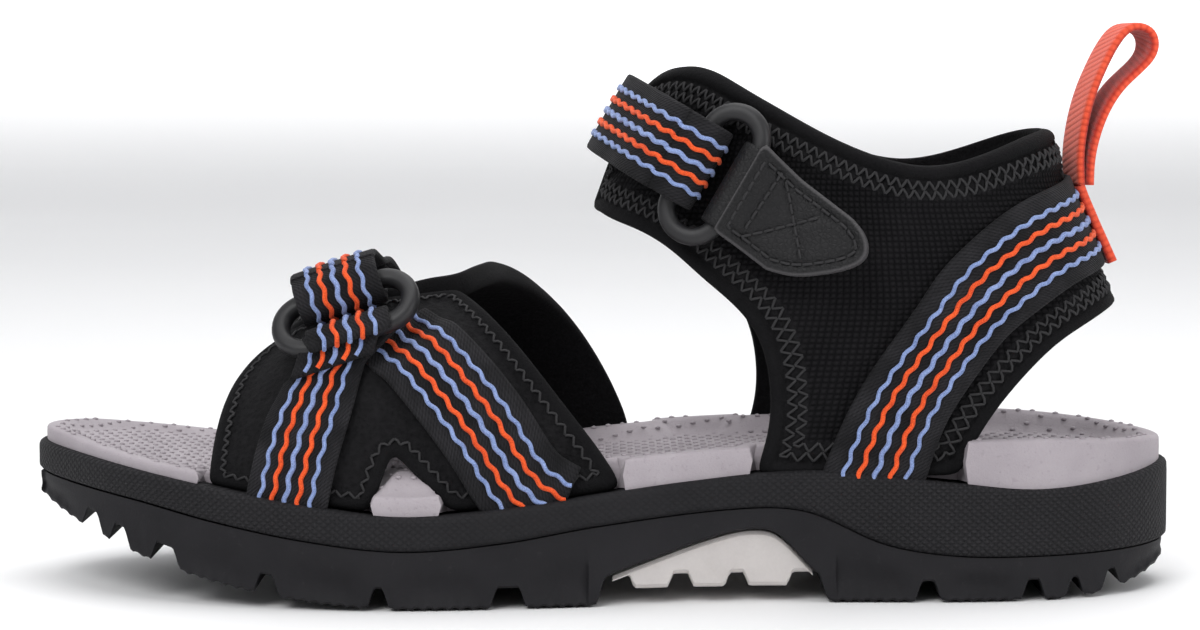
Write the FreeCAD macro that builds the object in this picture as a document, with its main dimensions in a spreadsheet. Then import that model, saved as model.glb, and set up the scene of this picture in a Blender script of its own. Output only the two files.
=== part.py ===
"""Strappy sport sandal, left foot, as a parametric FreeCAD document in millimetres.

Frame: the toe points along -X, the heel along +X, +Z is up, and the outer (lateral) side of the foot
faces -Y. The origin is on the ground, under the middle of the sandal's box.

The sole is built from one foot outline, cut above and below by side profiles. The straps lie on two
foot forms: an arch over the forefoot, and an oval round the ankle. Every strap layer is a slice of a
form between two offsets, cut to its outline as seen from the side.
"""
import FreeCAD, Part

import math
import os

import Sketcher
from FreeCAD import Vector as V

os.makedirs("parts", exist_ok=True)
doc = FreeCAD.newDocument("sandal")

# ---------------------------------------------------------------- driving dimensions
DIMENSIONS = {
    "sole_length": 200.0,
    "ball_lateral": 41.0,
    "ball_medial": 38.5,
    "heel_lateral": 31.0,
    "heel_medial": 29.5,
    "toe_spring_radius": 160.0,
    "lug_depth": 3.6,
    "board_thickness": 1.2,
    "webbing_width": 15.0,
    "webbing_thickness": 1.3,
    "trim_width": 6.3,
    "ring_length": 26.0,
    "ring_width": 12.6,
    "ring_wire": 3.2,
    "fold_clearance": 0.9,
    "loop_width": 10.0,
    "loop_thickness": 1.4,
    "strap_slope": 30.3,
    "ring_slope": 18.0,
    "block_height": 48.0,
    "profile_cut": 200.0,
}
sheet = doc.addObject("Spreadsheet::Sheet", "dimensions")
for row, (alias, value) in enumerate(DIMENSIONS.items(), start=1):
    sheet.set(f"A{row}", alias)
    sheet.set(f"B{row}", str(value))
    sheet.setAlias(f"B{row}", alias)
doc.recompute()


def dim(alias):
    return float(getattr(sheet, alias))


HALF_LENGTH = dim("sole_length") / 2
WEB = dim("webbing_thickness")
HALF_WEB = dim("webbing_width") / 2
WIRE_R = dim("ring_wire") / 2
FOLD_R = WIRE_R + dim("fold_clearance")
SLEEVE_R = WIRE_R + 0.15
BAR_GAP = dim("ring_width") - dim("ring_wire")

# Layers above a foot form: (inner, outer) offsets.
LINING = (0.0, 1.2)
FIELD = (1.3, 2.0)
TRIM = (1.3, 2.6)
WEBBING = (2.7, 2.7 + WEB)
LOOP_PATCH = (4.05, 4.6)
HOOK_PATCH = (4.9, 5.4)
TIP = (5.5, 5.5 + WEB)
# Round a ring's bar the base strap thins to a sleeve, and the tip starts just outside it.
SLEEVE_THICK = 0.6
TIP_OUT = FOLD_R + 0.9
RING_LIFT = WEBBING[1] + FOLD_R


# ---------------------------------------------------------------- small helpers
def along(table, x):
    """A smooth value at x from (x, value) pairs: straight between pairs, eased by neighbours."""
    if x <= table[0][0]:
        return table[0][1]
    for i in range(len(table) - 1):
        (x0, v0), (x1, v1) = table[i], table[i + 1]
        if x <= x1:
            before = table[i - 1] if i else (2 * x0 - x1, 2 * v0 - v1)
            after = table[i + 2] if i + 2 < len(table) else (2 * x1 - x0, 2 * v1 - v0)
            m0 = (v1 - before[1]) / (x1 - before[0])
            m1 = (after[1] - v0) / (after[0] - x0)
            w = x1 - x0
            t = (x - x0) / w
            return ((2 * t**3 - 3 * t**2 + 1) * v0 + (t**3 - 2 * t**2 + t) * w * m0
                    + (3 * t**2 - 2 * t**3) * v1 + (t**3 - t**2) * w * m1)
    return table[-1][1]


def spline(points, periodic=False):
    curve = Part.BSplineCurve()
    curve.interpolate(Points=points, PeriodicFlag=periodic)
    return curve


def side_face(*runs):
    """A face in the XZ plane from runs of (x, z) points: a run of 2 is a line, a longer one a spline."""
    edges = []
    for run in runs:
        points = [V(x, 0, z) for x, z in run]
        curve = Part.LineSegment(*points) if len(points) == 2 else spline(points)
        edges.append(curve.toShape())
    return Part.Face(Part.Wire(edges))


def across(face, low=-80.0, high=80.0):
    """The face of the side view, extruded across the sandal from y = low to y = high."""
    moved = face.copy()
    moved.translate(V(0, low, 0))
    return moved.extrude(V(0, high - low, 0))


def feature(label, shape):
    """A sub-part whose free-form shape is set directly."""
    made = doc.addObject("Part::Feature", label)
    made.Label = label
    made.Shape = shape
    made.Placement = FreeCAD.Placement()
    return made


def frame_placement(origin, x_axis, normal):
    """A placement whose local X and Z point along the two given directions."""
    z = V(normal).normalize()
    x = V(x_axis).normalize()
    y = z.cross(x)
    matrix = FreeCAD.Matrix(x.x, y.x, z.x, origin.x, x.y, y.y, z.y, origin.y, x.z, y.z, z.z, origin.z,
                            0, 0, 0, 1)
    return FreeCAD.Placement(matrix)


# ---------------------------------------------------------------- the sole
L = HALF_LENGTH
BALL_L, BALL_M = dim("ball_lateral"), dim("ball_medial")
HEEL_L, HEEL_M = dim("heel_lateral"), dim("heel_medial")
OUTLINE = [
    (-1.0 * L, 5), (-0.95 * L, 0.52 * BALL_M), (-0.82 * L, 0.81 * BALL_M), (-0.60 * L, 0.965 * BALL_M),
    (-0.38 * L, BALL_M), (-0.12 * L, 0.90 * BALL_M), (0.15 * L, HEEL_M), (0.40 * L, 0.95 * HEEL_M),
    (0.65 * L, HEEL_M), (0.85 * L, 0.83 * HEEL_M), (0.96 * L, 0.44 * HEEL_M), (1.0 * L, 0),
    (0.96 * L, -0.45 * HEEL_L), (0.85 * L, -0.80 * HEEL_L), (0.65 * L, -HEEL_L), (0.40 * L, -1.01 * HEEL_L),
    (0.15 * L, -0.82 * BALL_L), (-0.12 * L, -0.94 * BALL_L), (-0.38 * L, -BALL_L),
    (-0.60 * L, -0.89 * BALL_L), (-0.80 * L, -0.62 * BALL_L), (-0.94 * L, -0.23 * BALL_L),
]
# Side profiles, each a list of (x, z) from past the toe to past the heel.
MIDSOLE_TOP = [(-106, 24.9), (-88, 23.2), (-66, 20.0), (-50, 17.6), (-33, 15.7), (-15, 17.0), (15, 20.8),
               (37, 22.4), (60, 20.2), (74, 18.9), (88, 20.0), (106, 22.8)]
SPLIT_LINE = [(-106, 19.4), (-80, 16.8), (-65, 14.0), (-50, 11.5), (-33, 9.8), (-16, 11.0), (0, 13.5),
              (24, 16.0), (35, 15.3), (48, 9.8), (60, 7.8), (75, 7.5), (106, 8.0)]
RIM_TOP = [(-106, 27.6), (-94, 26.4), (-85, 24.9), (-67, 22.3), (-38, 19.3), (-27, 19.4), (0, 24.2),
           (25, 26.4), (50, 26.9), (72, 27.4), (88, 26.6), (106, 25.2)]
FOOT_SURFACE = [(-106, 26.2), (-94, 25.1), (-85, 23.9), (-66, 21.4), (-38, 18.2), (-20, 19.4), (0, 21.6),
                (25, 23.3), (50, 23.5), (80, 23.5), (106, 24.2)]
ARCH_UNDERSIDE = [(1.5, 5.2), (10, 8.3), (20, 11.6), (26, 12.6), (30, 11.6), (36.5, 5.2)]


def toe_spring(x):
    """How far the tread is above the ground at x."""
    start = -30.0
    return 0.0 if x > start else (start - x) ** 2 / (2 * dim("toe_spring_radius"))


def heel_bevel(x):
    """How far the tread rises towards the back of the heel."""
    start = 78.0
    return 0.0 if x < start else (x - start) ** 2 / (2 * 45.0)


def tread_line():
    """The tread seen from the side: curved up at the toe, flat, then bevelled at the heel."""
    toe = [(x, toe_spring(x)) for x in (-106, -92, -78, -64, -52, -40, -30)]
    heel = [(x, heel_bevel(x)) for x in (78, 84, 90, 97, 106)]
    return [toe, [toe[-1], heel[0]], heel]


def outline_points(inset):
    """The foot outline moved inwards, along its own normals."""
    n = len(OUTLINE)
    moved = []
    for i, (x, y) in enumerate(OUTLINE):
        (xa, ya), (xb, yb) = OUTLINE[i - 1], OUTLINE[(i + 1) % n]
        tx, ty = xb - xa, yb - ya
        size = math.hypot(tx, ty)
        moved.append((x + inset * ty / size, y - inset * tx / size))
    return moved


def origin_plane(body, role):
    return next(f for f in body.Origin.OriginFeatures if f.Role == role)


def new_sketch(body, name, role, lift=0.0):
    made = body.newObject("Sketcher::SketchObject", name)
    made.AttachmentSupport = [(origin_plane(body, role), "")]
    made.MapMode = "FlatFace"
    made.AttachmentOffset = FreeCAD.Placement(V(0, 0, lift), FreeCAD.Rotation())
    return made


def close_polygon(made, points):
    for a, b in zip(points, points[1:] + points[:1]):
        made.addGeometry(Part.LineSegment(V(a[0], a[1], 0), V(b[0], b[1], 0)), False)


SOLE_LOW = -4.0


def sole_body(label, inset, top, bottom):
    """The foot outline padded upwards, then cut away above one side profile and below another.

    A profile is a list of runs of (x, z): a run of two points is a line, and a longer one a spline."""
    body = doc.addObject("PartDesign::Body", label)
    body.Label = label
    plan = new_sketch(body, label + "_plan", "XY_Plane", SOLE_LOW)
    points = [V(x, y, 0) for x, y in outline_points(inset)]
    plan.addGeometry(spline(points, periodic=True), False)
    pad = body.newObject("PartDesign::Pad", label + "_pad")
    pad.Profile = plan
    pad.setExpression("Length", "dimensions.block_height")
    doc.recompute()
    for end, profile, beyond in (("top", top, 90.0), ("bottom", bottom, -40.0)):
        side = new_sketch(body, f"{label}_{end}", "XZ_Plane")
        for run in profile:
            points = [V(x, z, 0) for x, z in run]
            side.addGeometry(Part.LineSegment(*points) if len(points) == 2 else spline(points), False)
        (xa, za), (xb, zb) = profile[0][0], profile[-1][-1]
        for a, b in (((xb, zb), (xb, beyond)), ((xb, beyond), (xa, beyond)), ((xa, beyond), (xa, za))):
            side.addGeometry(Part.LineSegment(V(a[0], a[1], 0), V(b[0], b[1], 0)), False)
        cut = body.newObject("PartDesign::Pocket", f"{label}_cut_{end}")
        cut.Profile = side
        cut.setExpression("Length", "dimensions.profile_cut")
        cut.Midplane = True
        doc.recompute()
    return body


def pocket(body, name, role, polygons, depth, lift=0.0, midplane=False, reverse=False):
    plan = new_sketch(body, name + "_sketch", role, lift)
    for points in polygons:
        close_polygon(plan, points)
    cut = body.newObject("PartDesign::Pocket", name)
    cut.Profile = plan
    if isinstance(depth, str):
        cut.setExpression("Length", depth)
    else:
        cut.Length = depth
    cut.Midplane = midplane
    cut.Reversed = reverse
    doc.recompute()
    return cut


# Outsole: the gaps between its lugs, as (middle, half width at the root), from toe to heel.
LUG_GAPS = [(-87.5, 0.8), (-82.0, 0.7), (-73.5, 1.4), (-55.6, 0.9), (-36.8, 0.5), (-15.3, 1.8), (55.4, 0.9),
            (73.4, 0.8), (80.7, 0.3), (87.4, 0.4)]


def outsole():
    body = sole_body("outsole", 0.8, [SPLIT_LINE], tread_line())
    depth = dim("lug_depth")
    notches = []
    for x, half in LUG_GAPS:
        root = toe_spring(x) + heel_bevel(x) + depth
        flare = 1.5
        notches.append([(x - half, root), (x + half, root), (x + half + flare, root - depth - 3),
                        (x - half - flare, root - depth - 3)])
    pocket(body, "cross_grooves", "XZ_Plane", notches, "dimensions.profile_cut", midplane=True)
    arch = [(-1.0, -6)] + [(1.4, 3.0)] + ARCH_UNDERSIDE + [(36.6, 3.0), (39.5, -6)]
    pocket(body, "arch_gap", "XZ_Plane", [arch], "dimensions.profile_cut", midplane=True)
    # The channel down the middle splits each row into a lug for each side, and steps to follow the foot.
    channels = [
        [(-84, 4), (-58, 4), (-58, 8), (-84, 8)], [(-58, -3), (-37, -3), (-37, 2), (-58, 2)],
        [(-37, -2), (-15, -2), (-15, 3), (-37, 3)], [(-15, -5), (3, -5), (3, 0), (-15, 0)],
        [(36, -4), (56, -4), (56, 1), (36, 1)], [(56, -2), (76, -2), (76, 3), (56, 3)],
    ]
    for i, points in enumerate(channels):
        x = (points[0][0] + points[1][0]) / 2
        height = toe_spring(x) + dim("lug_depth")
        pocket(body, f"centre_channel_{i}", "XY_Plane", [points], height + 6, lift=-6.0, reverse=True)
    return body


outsole_body = outsole()


def shank_plate():
    """The pale plate that stiffens the arch, in the gap of the outsole, with small lugs below."""
    gap = 0.15
    top = [(x, z - gap) for x, z in ARCH_UNDERSIDE]
    low = 5.0 - gap
    face = side_face([(2.2, low), *top[1:-1], (35.8, low)], [(35.8, low), (2.2, low)])
    plate = across(face, -34.5, 31.5)
    for x, half, y0, y1 in ((9, 3.6, -34.0, -22), (20, 3.2, -30, -14), (29, 4.2, -34.0, -20),
                            (9, 3.6, 20, 31), (20, 3.2, 14, 28), (29, 4.2, 18, 31), (14, 3, -8, 6),
                            (26, 3, -8, 6)):
        foot = side_face([(x - half, low + 0.3), (x + half, low + 0.3)],
                         [(x + half, low + 0.3), (x + half - 1.6, 2.8)],
                         [(x + half - 1.6, 2.8), (x - half + 1.6, 2.8)],
                         [(x - half + 1.6, 2.8), (x - half, low + 0.3)])
        plate = plate.fuse(across(foot, y0, y1))
    outline = Part.Face(Part.Wire([spline([V(x, y, -10) for x, y in outline_points(2.6)], True).toShape()]))
    plate = plate.common(outline.extrude(V(0, 0, 40))).cut(outsole_body.Shape)
    feature("shank_plate", max(plate.Solids, key=lambda s: s.Volume))


shank_plate()


def raised(profile, by):
    return [(x, z + by) for x, z in profile]


def cut_from(label, base, tools):
    """A Part::Cut of one document object by one or more others."""
    for number, tool in enumerate(tools):
        made = doc.addObject("Part::Cut", label if number == len(tools) - 1 else f"{label}_cut_{number}")
        made.Base = base
        made.Tool = tool
        base = made
    base.Label = label
    doc.recompute()
    return base


# The board that the straps are glued under sits in a recess in the top of the midsole.
board_under = raised(MIDSOLE_TOP, -dim("board_thickness"))
board = sole_body("lasting_board", 8.2, [raised(MIDSOLE_TOP, -0.05)], [board_under])
recess = sole_body("board_recess", 8.1, [raised(MIDSOLE_TOP, 3.0)], [raised(board_under, -0.05)])
midsole_block = sole_body("midsole_block", 0.0, [MIDSOLE_TOP], [SPLIT_LINE])
midsole = cut_from("midsole", midsole_block, [recess])

# ---------------------------------------------------------------- the forms that the straps lie on
ARCH_BASE = 13.0
ARCH_POWER = 2.6
ARCH_CENTRE = [(-80, 2.0), (-66, 0.9), (-50, -0.7), (-38, -1.2), (-20, -1.9), (0, -2.0), (14, -2.0)]
ARCH_HALF = [(-80, 25.0), (-66, 29.4), (-50, 33.2), (-38, 34.0), (-20, 32.2), (0, 28.8), (14, 26.4)]
ARCH_TOP = [(-80, 25.0), (-66, 35.4), (-52, 44.6), (-42, 48.6), (-30, 50.4), (-20, 51.6), (-10, 53.4),
            (4, 56.4), (14, 58.4)]


def arch_point(x, angle, offset):
    """A point of the forefoot form at x: angle 0 is the inner side, 90 the top and 180 the outer side."""
    c, s = math.cos(angle), math.sin(angle)
    half = along(ARCH_HALF, x) + offset
    high = along(ARCH_TOP, x) - ARCH_BASE + offset
    y = along(ARCH_CENTRE, x) + half * math.copysign(abs(c) ** (2 / ARCH_POWER), c)
    return V(x, y, ARCH_BASE + high * abs(s) ** (2 / ARCH_POWER))


def arch_solid(offset):
    sections = []
    for x in (-80, -66, -52, -38, -24, -10, 3, 14):
        points = [arch_point(x, math.pi * k / 18, offset) for k in range(19)]
        first, last = points[0], points[-1]
        floor = ARCH_BASE - 6
        corners = [last, V(x, last.y, floor), V(x, first.y, floor), first]
        edges = [spline(points).toShape()]
        edges += [Part.LineSegment(a, b).toShape() for a, b in zip(corners, corners[1:])]
        sections.append(Part.Wire(edges))
    return Part.makeLoft(sections, True, False)


ANKLE_POWER = 2.5
ANKLE_FRONT = [(8, -24), (20, -20), (35, -13), (50, -6), (60, -1), (68, 2), (75, 4.6), (82, 7.8), (90, 12),
               (98, 16)]
ANKLE_BACK = [(8, 90), (30, 89.4), (42, 88.8), (50, 87.6), (56, 84.8), (60, 83.0), (64, 81.2), (70, 78.8),
              (75, 78.0), (80, 76.4), (98, 73)]
ANKLE_HALF = [(8, 25.6), (20, 25.6), (45, 25.4), (70, 24.6), (98, 23.4)]
ANKLE_CENTRE = [(8, -1.3), (20, -1.3), (50, -0.5), (70, 0), (98, 0)]


def ankle_point(z, angle, offset):
    """A point of the ankle form at height z: angle 0 is the heel, 90 the inner side and 180 the front."""
    c, s = math.cos(angle), math.sin(angle)
    front, back = along(ANKLE_FRONT, z), along(ANKLE_BACK, z)
    long_half = (back - front) / 2 + offset
    half = along(ANKLE_HALF, z) + offset
    x = (front + back) / 2 + long_half * math.copysign(abs(c) ** (2 / ANKLE_POWER), c)
    y = along(ANKLE_CENTRE, z) + half * math.copysign(abs(s) ** (2 / ANKLE_POWER), s)
    return V(x, y, z)


def ankle_solid(offset):
    sections = []
    for z in (8, 24, 40, 52, 62, 72, 84, 98):
        points = [ankle_point(z, 2 * math.pi * k / 32, offset) for k in range(32)]
        sections.append(Part.Wire([spline(points, True).toShape()]))
    return Part.makeLoft(sections, True, False)


forms = {}


def form(kind, offset):
    """The solid inside a foot form, grown by an offset."""
    if (kind, offset) not in forms:
        forms[kind, offset] = {"arch": arch_solid, "ankle": ankle_solid}[kind](offset)
    return forms[kind, offset]


ROOM = 0.1
above_sole = across(side_face(raised(MIDSOLE_TOP, ROOM), [(106, 22.8 + ROOM), (106, 140)],
                              [(106, 140), (-106, 140)], [(-106, 140), (-106, 24.9 + ROOM)]))
layers = {}


def layer(kind, offsets):
    """The slice of a form between two offsets, above the sole."""
    if (kind, offsets) not in layers:
        layers[kind, offsets] = form(kind, offsets[1]).cut(form(kind, offsets[0])).common(above_sole)
    return layers[kind, offsets]


def slab(y_low, y_high, x_low=-130.0, x_high=130.0):
    return Part.makeBox(x_high - x_low, y_high - y_low, 160, V(x_low, y_low, -10))


def cut_panel(kind, offsets, face, side):
    """A layer cut to an outline seen from the side, on one side of the foot."""
    return layer(kind, offsets).common(across(face)).common(side)


# ---------------------------------------------------------------- the footbed
# The footbed fills the sole's top and is hollowed for the foot. It is cut away outside the foot forms
# wherever a strap goes down beside it.
STRAP_GAPS = [("arch", -68.2, -36.8, -60.0, 0.0), ("arch", -29.4, 5.4, -60.0, 0.0),
              ("arch", -65.0, 10.0, 0.0, 60.0), ("ankle", 25.0, 65.4, -60.0, 60.0)]


def footbed():
    block = sole_body("footbed_block", 1.4, [RIM_TOP], [raised(MIDSOLE_TOP, 0.05)])
    cup = sole_body("footbed_cup", 5.4, [raised(RIM_TOP, 9.0)], [FOOT_SURFACE])
    gaps = None
    for kind, x_low, x_high, y_low, y_high in STRAP_GAPS:
        gap = slab(y_low, y_high, x_low, x_high).cut(form(kind, -0.4))
        gaps = gap if gaps is None else gaps.fuse(gap)
    strap_gaps = feature("footbed_strap_gaps", gaps)
    return cut_from("footbed", block, [cup, strap_gaps])


footbed_part = footbed()

# ---------------------------------------------------------------- forefoot panels
# The outer panel is an upside-down V. Its outline runs on below the sole, where it is cut off.
VAMP_OUTER = side_face(
    [(-66.5, 6), (-66.0, 20), (-64.8, 30), (-62.8, 36), (-60, 39.6), (-55, 43.5), (-50, 46.5), (-44, 50),
     (-38, 53), (-31, 54.6), (-25.5, 52.6), (-20.8, 50.0), (-15.6, 45.6), (-11, 40.4), (-5.2, 33), (-0.6, 27),
     (3.2, 21), (8, 12), (11, 6)],
    [(11, 6), (-14, 6)], [(-14, 6), (-23.5, 14.5)], [(-23.5, 14.5), (-34.6, 26.6)],
    [(-34.6, 26.6), (-38.4, 16)], [(-38.4, 16), (-41, 6)], [(-41, 6), (-66.5, 6)])
VAMP_INNER = side_face(
    [(-63, 6), (-62.2, 20), (-60.5, 32), (-57, 41), (-51, 48.5), (-44, 54), (-36, 59), (-28, 60),
     (-21, 58.5), (-15.6, 54.5), (-10, 49), (-4.6, 41.5), (0, 34), (3.6, 26.5), (7, 16), (9, 6)],
    [(9, 6), (-63, 6)])
TOP_SEAM = -15.0
outer_front = slab(-80, TOP_SEAM)
inner_front = slab(TOP_SEAM + 0.6, 80)


def inset(face, by):
    """The outline moved inwards, with its edges as plain splines."""
    return face.makeOffset2D(-by, join=0).toNurbs()


def panel_set(name, kind, face, side, trim_width, lane=None):
    """Lining, field and edge trim of one panel: three separate pieces, laid on each other.

    lane is the room of a strap that presses into the trim."""
    feature(name + "_lining", cut_panel(kind, LINING, face, side))
    feature(name + "_field", cut_panel(kind, FIELD, inset(face, trim_width + 0.1), side))
    trim = cut_panel(kind, TRIM, face, side).cut(across(inset(face, trim_width)))
    feature(name + "_trim", trim.cut(lane) if lane else trim)


panel_set("vamp_outer", "arch", VAMP_OUTER, outer_front, 2.6)
panel_set("vamp_inner", "arch", VAMP_INNER, inner_front, 2.6)


def band_face(points, half):
    """A band of constant width along a centre line of (x, z) points, in the side view."""
    line = spline([V(x, 0, z) for x, z in points])
    first, last = line.FirstParameter, line.LastParameter
    sides = {1: [], -1: []}
    steps = 10
    for k in range(steps + 1):
        t = first + (last - first) * k / steps
        p, d = line.value(t), line.tangent(t)[0]
        for side, found in sides.items():
            found.append((p.x - side * half * d.z, p.z + side * half * d.x))
    a, b = sides[1], sides[-1][::-1]
    return side_face(a, [a[-1], b[0]], b, [b[-1], a[0]])


# ---------------------------------------------------------------- straps that pass through a ring
def bar_direction(slope):
    """The long axis of a ring: it leans back by a slope in the side view, in degrees."""
    return V(math.cos(math.radians(slope)), 0, math.sin(math.radians(slope)))


class StrapPlane:
    """The plane that a strap runs in: through start = (x, z) in the side view, square to a ring's bar."""

    def __init__(self, kind, start, slope):
        self.kind = kind
        self.start = start
        self.bar = bar_direction(slope)

    def point(self, degrees, offset):
        """The point of the form in this plane, at an angle round the form and an offset from it."""
        angle = math.radians(degrees)
        x, z = self.start
        bar = self.bar
        for _ in range(14):
            if self.kind == "arch":
                p = arch_point(x, angle, offset)
                x = self.start[0] - (p.z - self.start[1]) * bar.z / bar.x
            else:
                p = ankle_point(z, angle, offset)
                z = self.start[1] - (p.x - self.start[0]) * bar.x / bar.z
        off_plane = (p - V(self.start[0], 0, self.start[1])).dot(bar)
        return p - bar * off_plane

    def locate(self, target, near):
        """The (angle, offset) of a point that lies in this plane."""
        angle, offset = near, 6.0
        for _ in range(40):
            here = self.point(angle, offset)
            by_angle = self.point(angle + 0.5, offset) - here
            by_offset = self.point(angle, offset + 0.5) - here
            miss = target - here
            aa, ab, bb = by_angle.dot(by_angle), by_angle.dot(by_offset), by_offset.dot(by_offset)
            ma, mb = miss.dot(by_angle), miss.dot(by_offset)
            det = aa * bb - ab * ab
            angle += 0.5 * (ma * bb - mb * ab) / det
            offset += 0.5 * (mb * aa - ma * ab) / det
        return angle, offset

    def strip(self, stations, half, rounded=False):
        """A strap through stations of (angle, inner offset, outer offset), as wide as two halves."""
        inner = [self.point(a, low) for a, low, _ in stations]
        outer = [self.point(a, high) for a, _, high in reversed(stations)]
        edges = [spline(inner).toShape(), Part.LineSegment(inner[-1], outer[0]).toShape(),
                 spline(outer).toShape(), Part.LineSegment(outer[-1], inner[0]).toShape()]
        section = Part.Face(Part.Wire(edges))
        section.translate(self.bar * -half)
        return section.extrude(self.bar * (2 * half))


def stations(first, last, count, offsets):
    """Even stations from one angle to another; offsets is a function of the way along, 0 to 1."""
    found = []
    for k in range(count + 1):
        low, high = offsets(k / count)
        found.append((first + (last - first) * k / count, low, high))
    return found


def ease(t):
    t = min(1.0, max(0.0, t))
    return t * t * (3 - 2 * t)


def rising(rest, end, part):
    """Offsets that stay at rest and ease up to end over the last part of the way."""
    def at(t):
        up = ease((t - 1 + part) / part)
        return rest[0] + (end[0] - rest[0]) * up, rest[1] + (end[1] - rest[1]) * up
    return at


def sleeve(bar_centre, outward, inside, inner, outer, half, sweep=180.0):
    """Webbing round a ring's bar, from beside the foot, through the ring's inside, to the outer face."""
    axis = inside.cross(outward).normalize()
    base = bar_centre - axis * half
    turned = FreeCAD.Rotation(V(0, 0, 1), axis)
    from_x = turned.multVec(V(1, 0, 0))
    zero = outward * -1
    turn = math.degrees(math.atan2(from_x.cross(zero).dot(axis), from_x.dot(zero)))
    solid = Part.makeCylinder(outer, 2 * half, base, axis, sweep)
    solid.rotate(base, axis, turn)
    return solid.cut(Part.makeCylinder(inner, 2 * half, base, axis))


def plane_prism(centre, inside, outward, bar, outline, half):
    """A prism along a ring's bar, from an outline of (away from the ring's inside, outward) points."""
    points = [centre - inside * a + outward * n - bar * half for a, n in outline]
    face = Part.Face(Part.makePolygon(points + points[:1]))
    return face.extrude(bar * (2 * half))


def ring_body(label, centre, long_axis, normal):
    """An oval ring: a round wire swept along a stadium."""
    body = doc.addObject("PartDesign::Body", label)
    body.Label = label
    radius = BAR_GAP / 2
    straight = (dim("ring_length") - dim("ring_width")) / 2
    path = new_sketch(body, label + "_path", "XY_Plane")
    path.addGeometry([
        Part.LineSegment(V(-straight, radius, 0), V(straight, radius, 0)),
        Part.ArcOfCircle(Part.Circle(V(straight, 0, 0), V(0, 0, 1), radius), -math.pi / 2, math.pi / 2),
        Part.LineSegment(V(straight, -radius, 0), V(-straight, -radius, 0)),
        Part.ArcOfCircle(Part.Circle(V(-straight, 0, 0), V(0, 0, 1), radius), math.pi / 2, 1.5 * math.pi),
    ], False)
    for one, other in (((0, 2), (1, 2)), ((1, 1), (2, 1)), ((2, 2), (3, 2)), ((3, 1), (0, 1))):
        path.addConstraint(Sketcher.Constraint("Coincident", *one, *other))
    for edge, kind, value, size in (
            (1, "Radius", radius, "(dimensions.ring_width - dimensions.ring_wire) / 2"),
            (0, "Distance", 2 * straight, "dimensions.ring_length - dimensions.ring_width")):
        number = path.addConstraint(Sketcher.Constraint(kind, edge, value))
        path.setExpression(f"Constraints[{number}]", size)
    wire = new_sketch(body, label + "_wire", "YZ_Plane")
    wire.addGeometry(Part.Circle(V(radius, 0, 0), V(0, 0, 1), WIRE_R), False)
    wire.addConstraint(Sketcher.Constraint("Radius", 0, WIRE_R))
    wire.setExpression("Constraints[0]", "dimensions.ring_wire / 2")
    doc.recompute()
    pipe = body.newObject("PartDesign::AdditivePipe", label + "_sweep")
    pipe.Profile = wire
    pipe.Spine = (path, ["Edge1", "Edge2", "Edge3", "Edge4"])
    doc.recompute()
    body.Placement = frame_placement(centre, long_axis, normal)
    return body


def ring_strap(prefix, plane, free_bar, outward, inside, near, anchor, tip_end, flat, widths):
    """A closure strap in two parts that can part: the base goes to the ring and half round its bar, and
    the tip lies back over the base and peels off it, hinged on the bar.

    anchor and tip_end are angles round the form; flat is how far the strap lies flat, from 0 to 1."""
    bar = plane.bar
    angle, offset = plane.locate(free_bar, near)
    base_end = (offset - FOLD_R - WEB, offset - FOLD_R)
    base = plane.strip(stations(anchor, angle, 20, rising(WEBBING, base_end, 1 - flat[0])), HALF_WEB)
    fold = sleeve(free_bar, outward, inside, FOLD_R, FOLD_R + SLEEVE_THICK, HALF_WEB - 0.2)
    feature(prefix + "_strap", base.fuse(fold).removeSplitter().common(above_sole))
    tip_start = (offset + TIP_OUT, offset + TIP_OUT + WEB)
    tip = plane.strip(stations(tip_end, angle, 18, rising(TIP, tip_start, 1 - flat[1])), HALF_WEB)
    feature(prefix + "_strap_tip", tip)
    reach = angle - tip_end
    patch_end = tip_end + reach * (flat[1] - 0.04)
    patch_start = tip_end + 0.06 * reach
    hook = plane.strip(stations(patch_start, patch_end, 10, lambda t: HOOK_PATCH), widths)
    loop = plane.strip(stations(patch_start, patch_end, 10, lambda t: LOOP_PATCH), widths)
    feature(prefix + "_hook_patch", hook)
    feature(prefix + "_loop_patch", loop)
    print(f"{prefix}: bar {free_bar} axis {bar} angle {angle:.2f} offset {offset:.2f}")


# Forefoot: the ring's lower bar is held by the outer webbing, and the closure strap goes round its upper
# bar and back over the instep.
FRONT_START = (-42.6, 48.2)
FRONT_LEAN = 50.0
FRONT_LOW_ANGLE = 134.0
FRONT_LOW_OFFSET = 6.0
front_plane = StrapPlane("arch", FRONT_START, dim("ring_slope"))
front_bar = front_plane.bar
front_up = V(-front_bar.z, 0, front_bar.x)
lean = math.radians(FRONT_LEAN)
front_inside_low = (V(0, math.cos(lean), 0) + front_up * math.sin(lean)).normalize()
front_out = (V(0, -math.sin(lean), 0) + front_up * math.cos(lean)).normalize()
front_low_bar = front_plane.point(FRONT_LOW_ANGLE, FRONT_LOW_OFFSET)
front_top_bar = front_low_bar + front_inside_low * BAR_GAP
front_ring_centre = (front_low_bar + front_top_bar) / 2
ring_body("front_ring", front_ring_centre, front_bar, front_out)
ring_strap("front", front_plane, front_top_bar, front_out, front_inside_low * -1, 120.0, anchor=1.0,
           tip_end=52.0, flat=(0.72, 0.55), widths=HALF_WEB - 1.2)

FRONT_WEB_LINE = [(-53.5, 6), (-51.8, 18.8), (-48.6, 31.3), (-45.4, 40.5), (-43.8, 45.0)]
REAR_WEB_LINE = [(-4.5, 6), (-11.5, 17.7), (-17.6, 27), (-24.2, 35.6), (-31, 42.5), (-36, 46.2)]
INNER_REAR_LINE = [(-3.5, 6), (-9.0, 20), (-14.5, 32), (-20.5, 42), (-26, 48), (-30, 52)]


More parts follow.
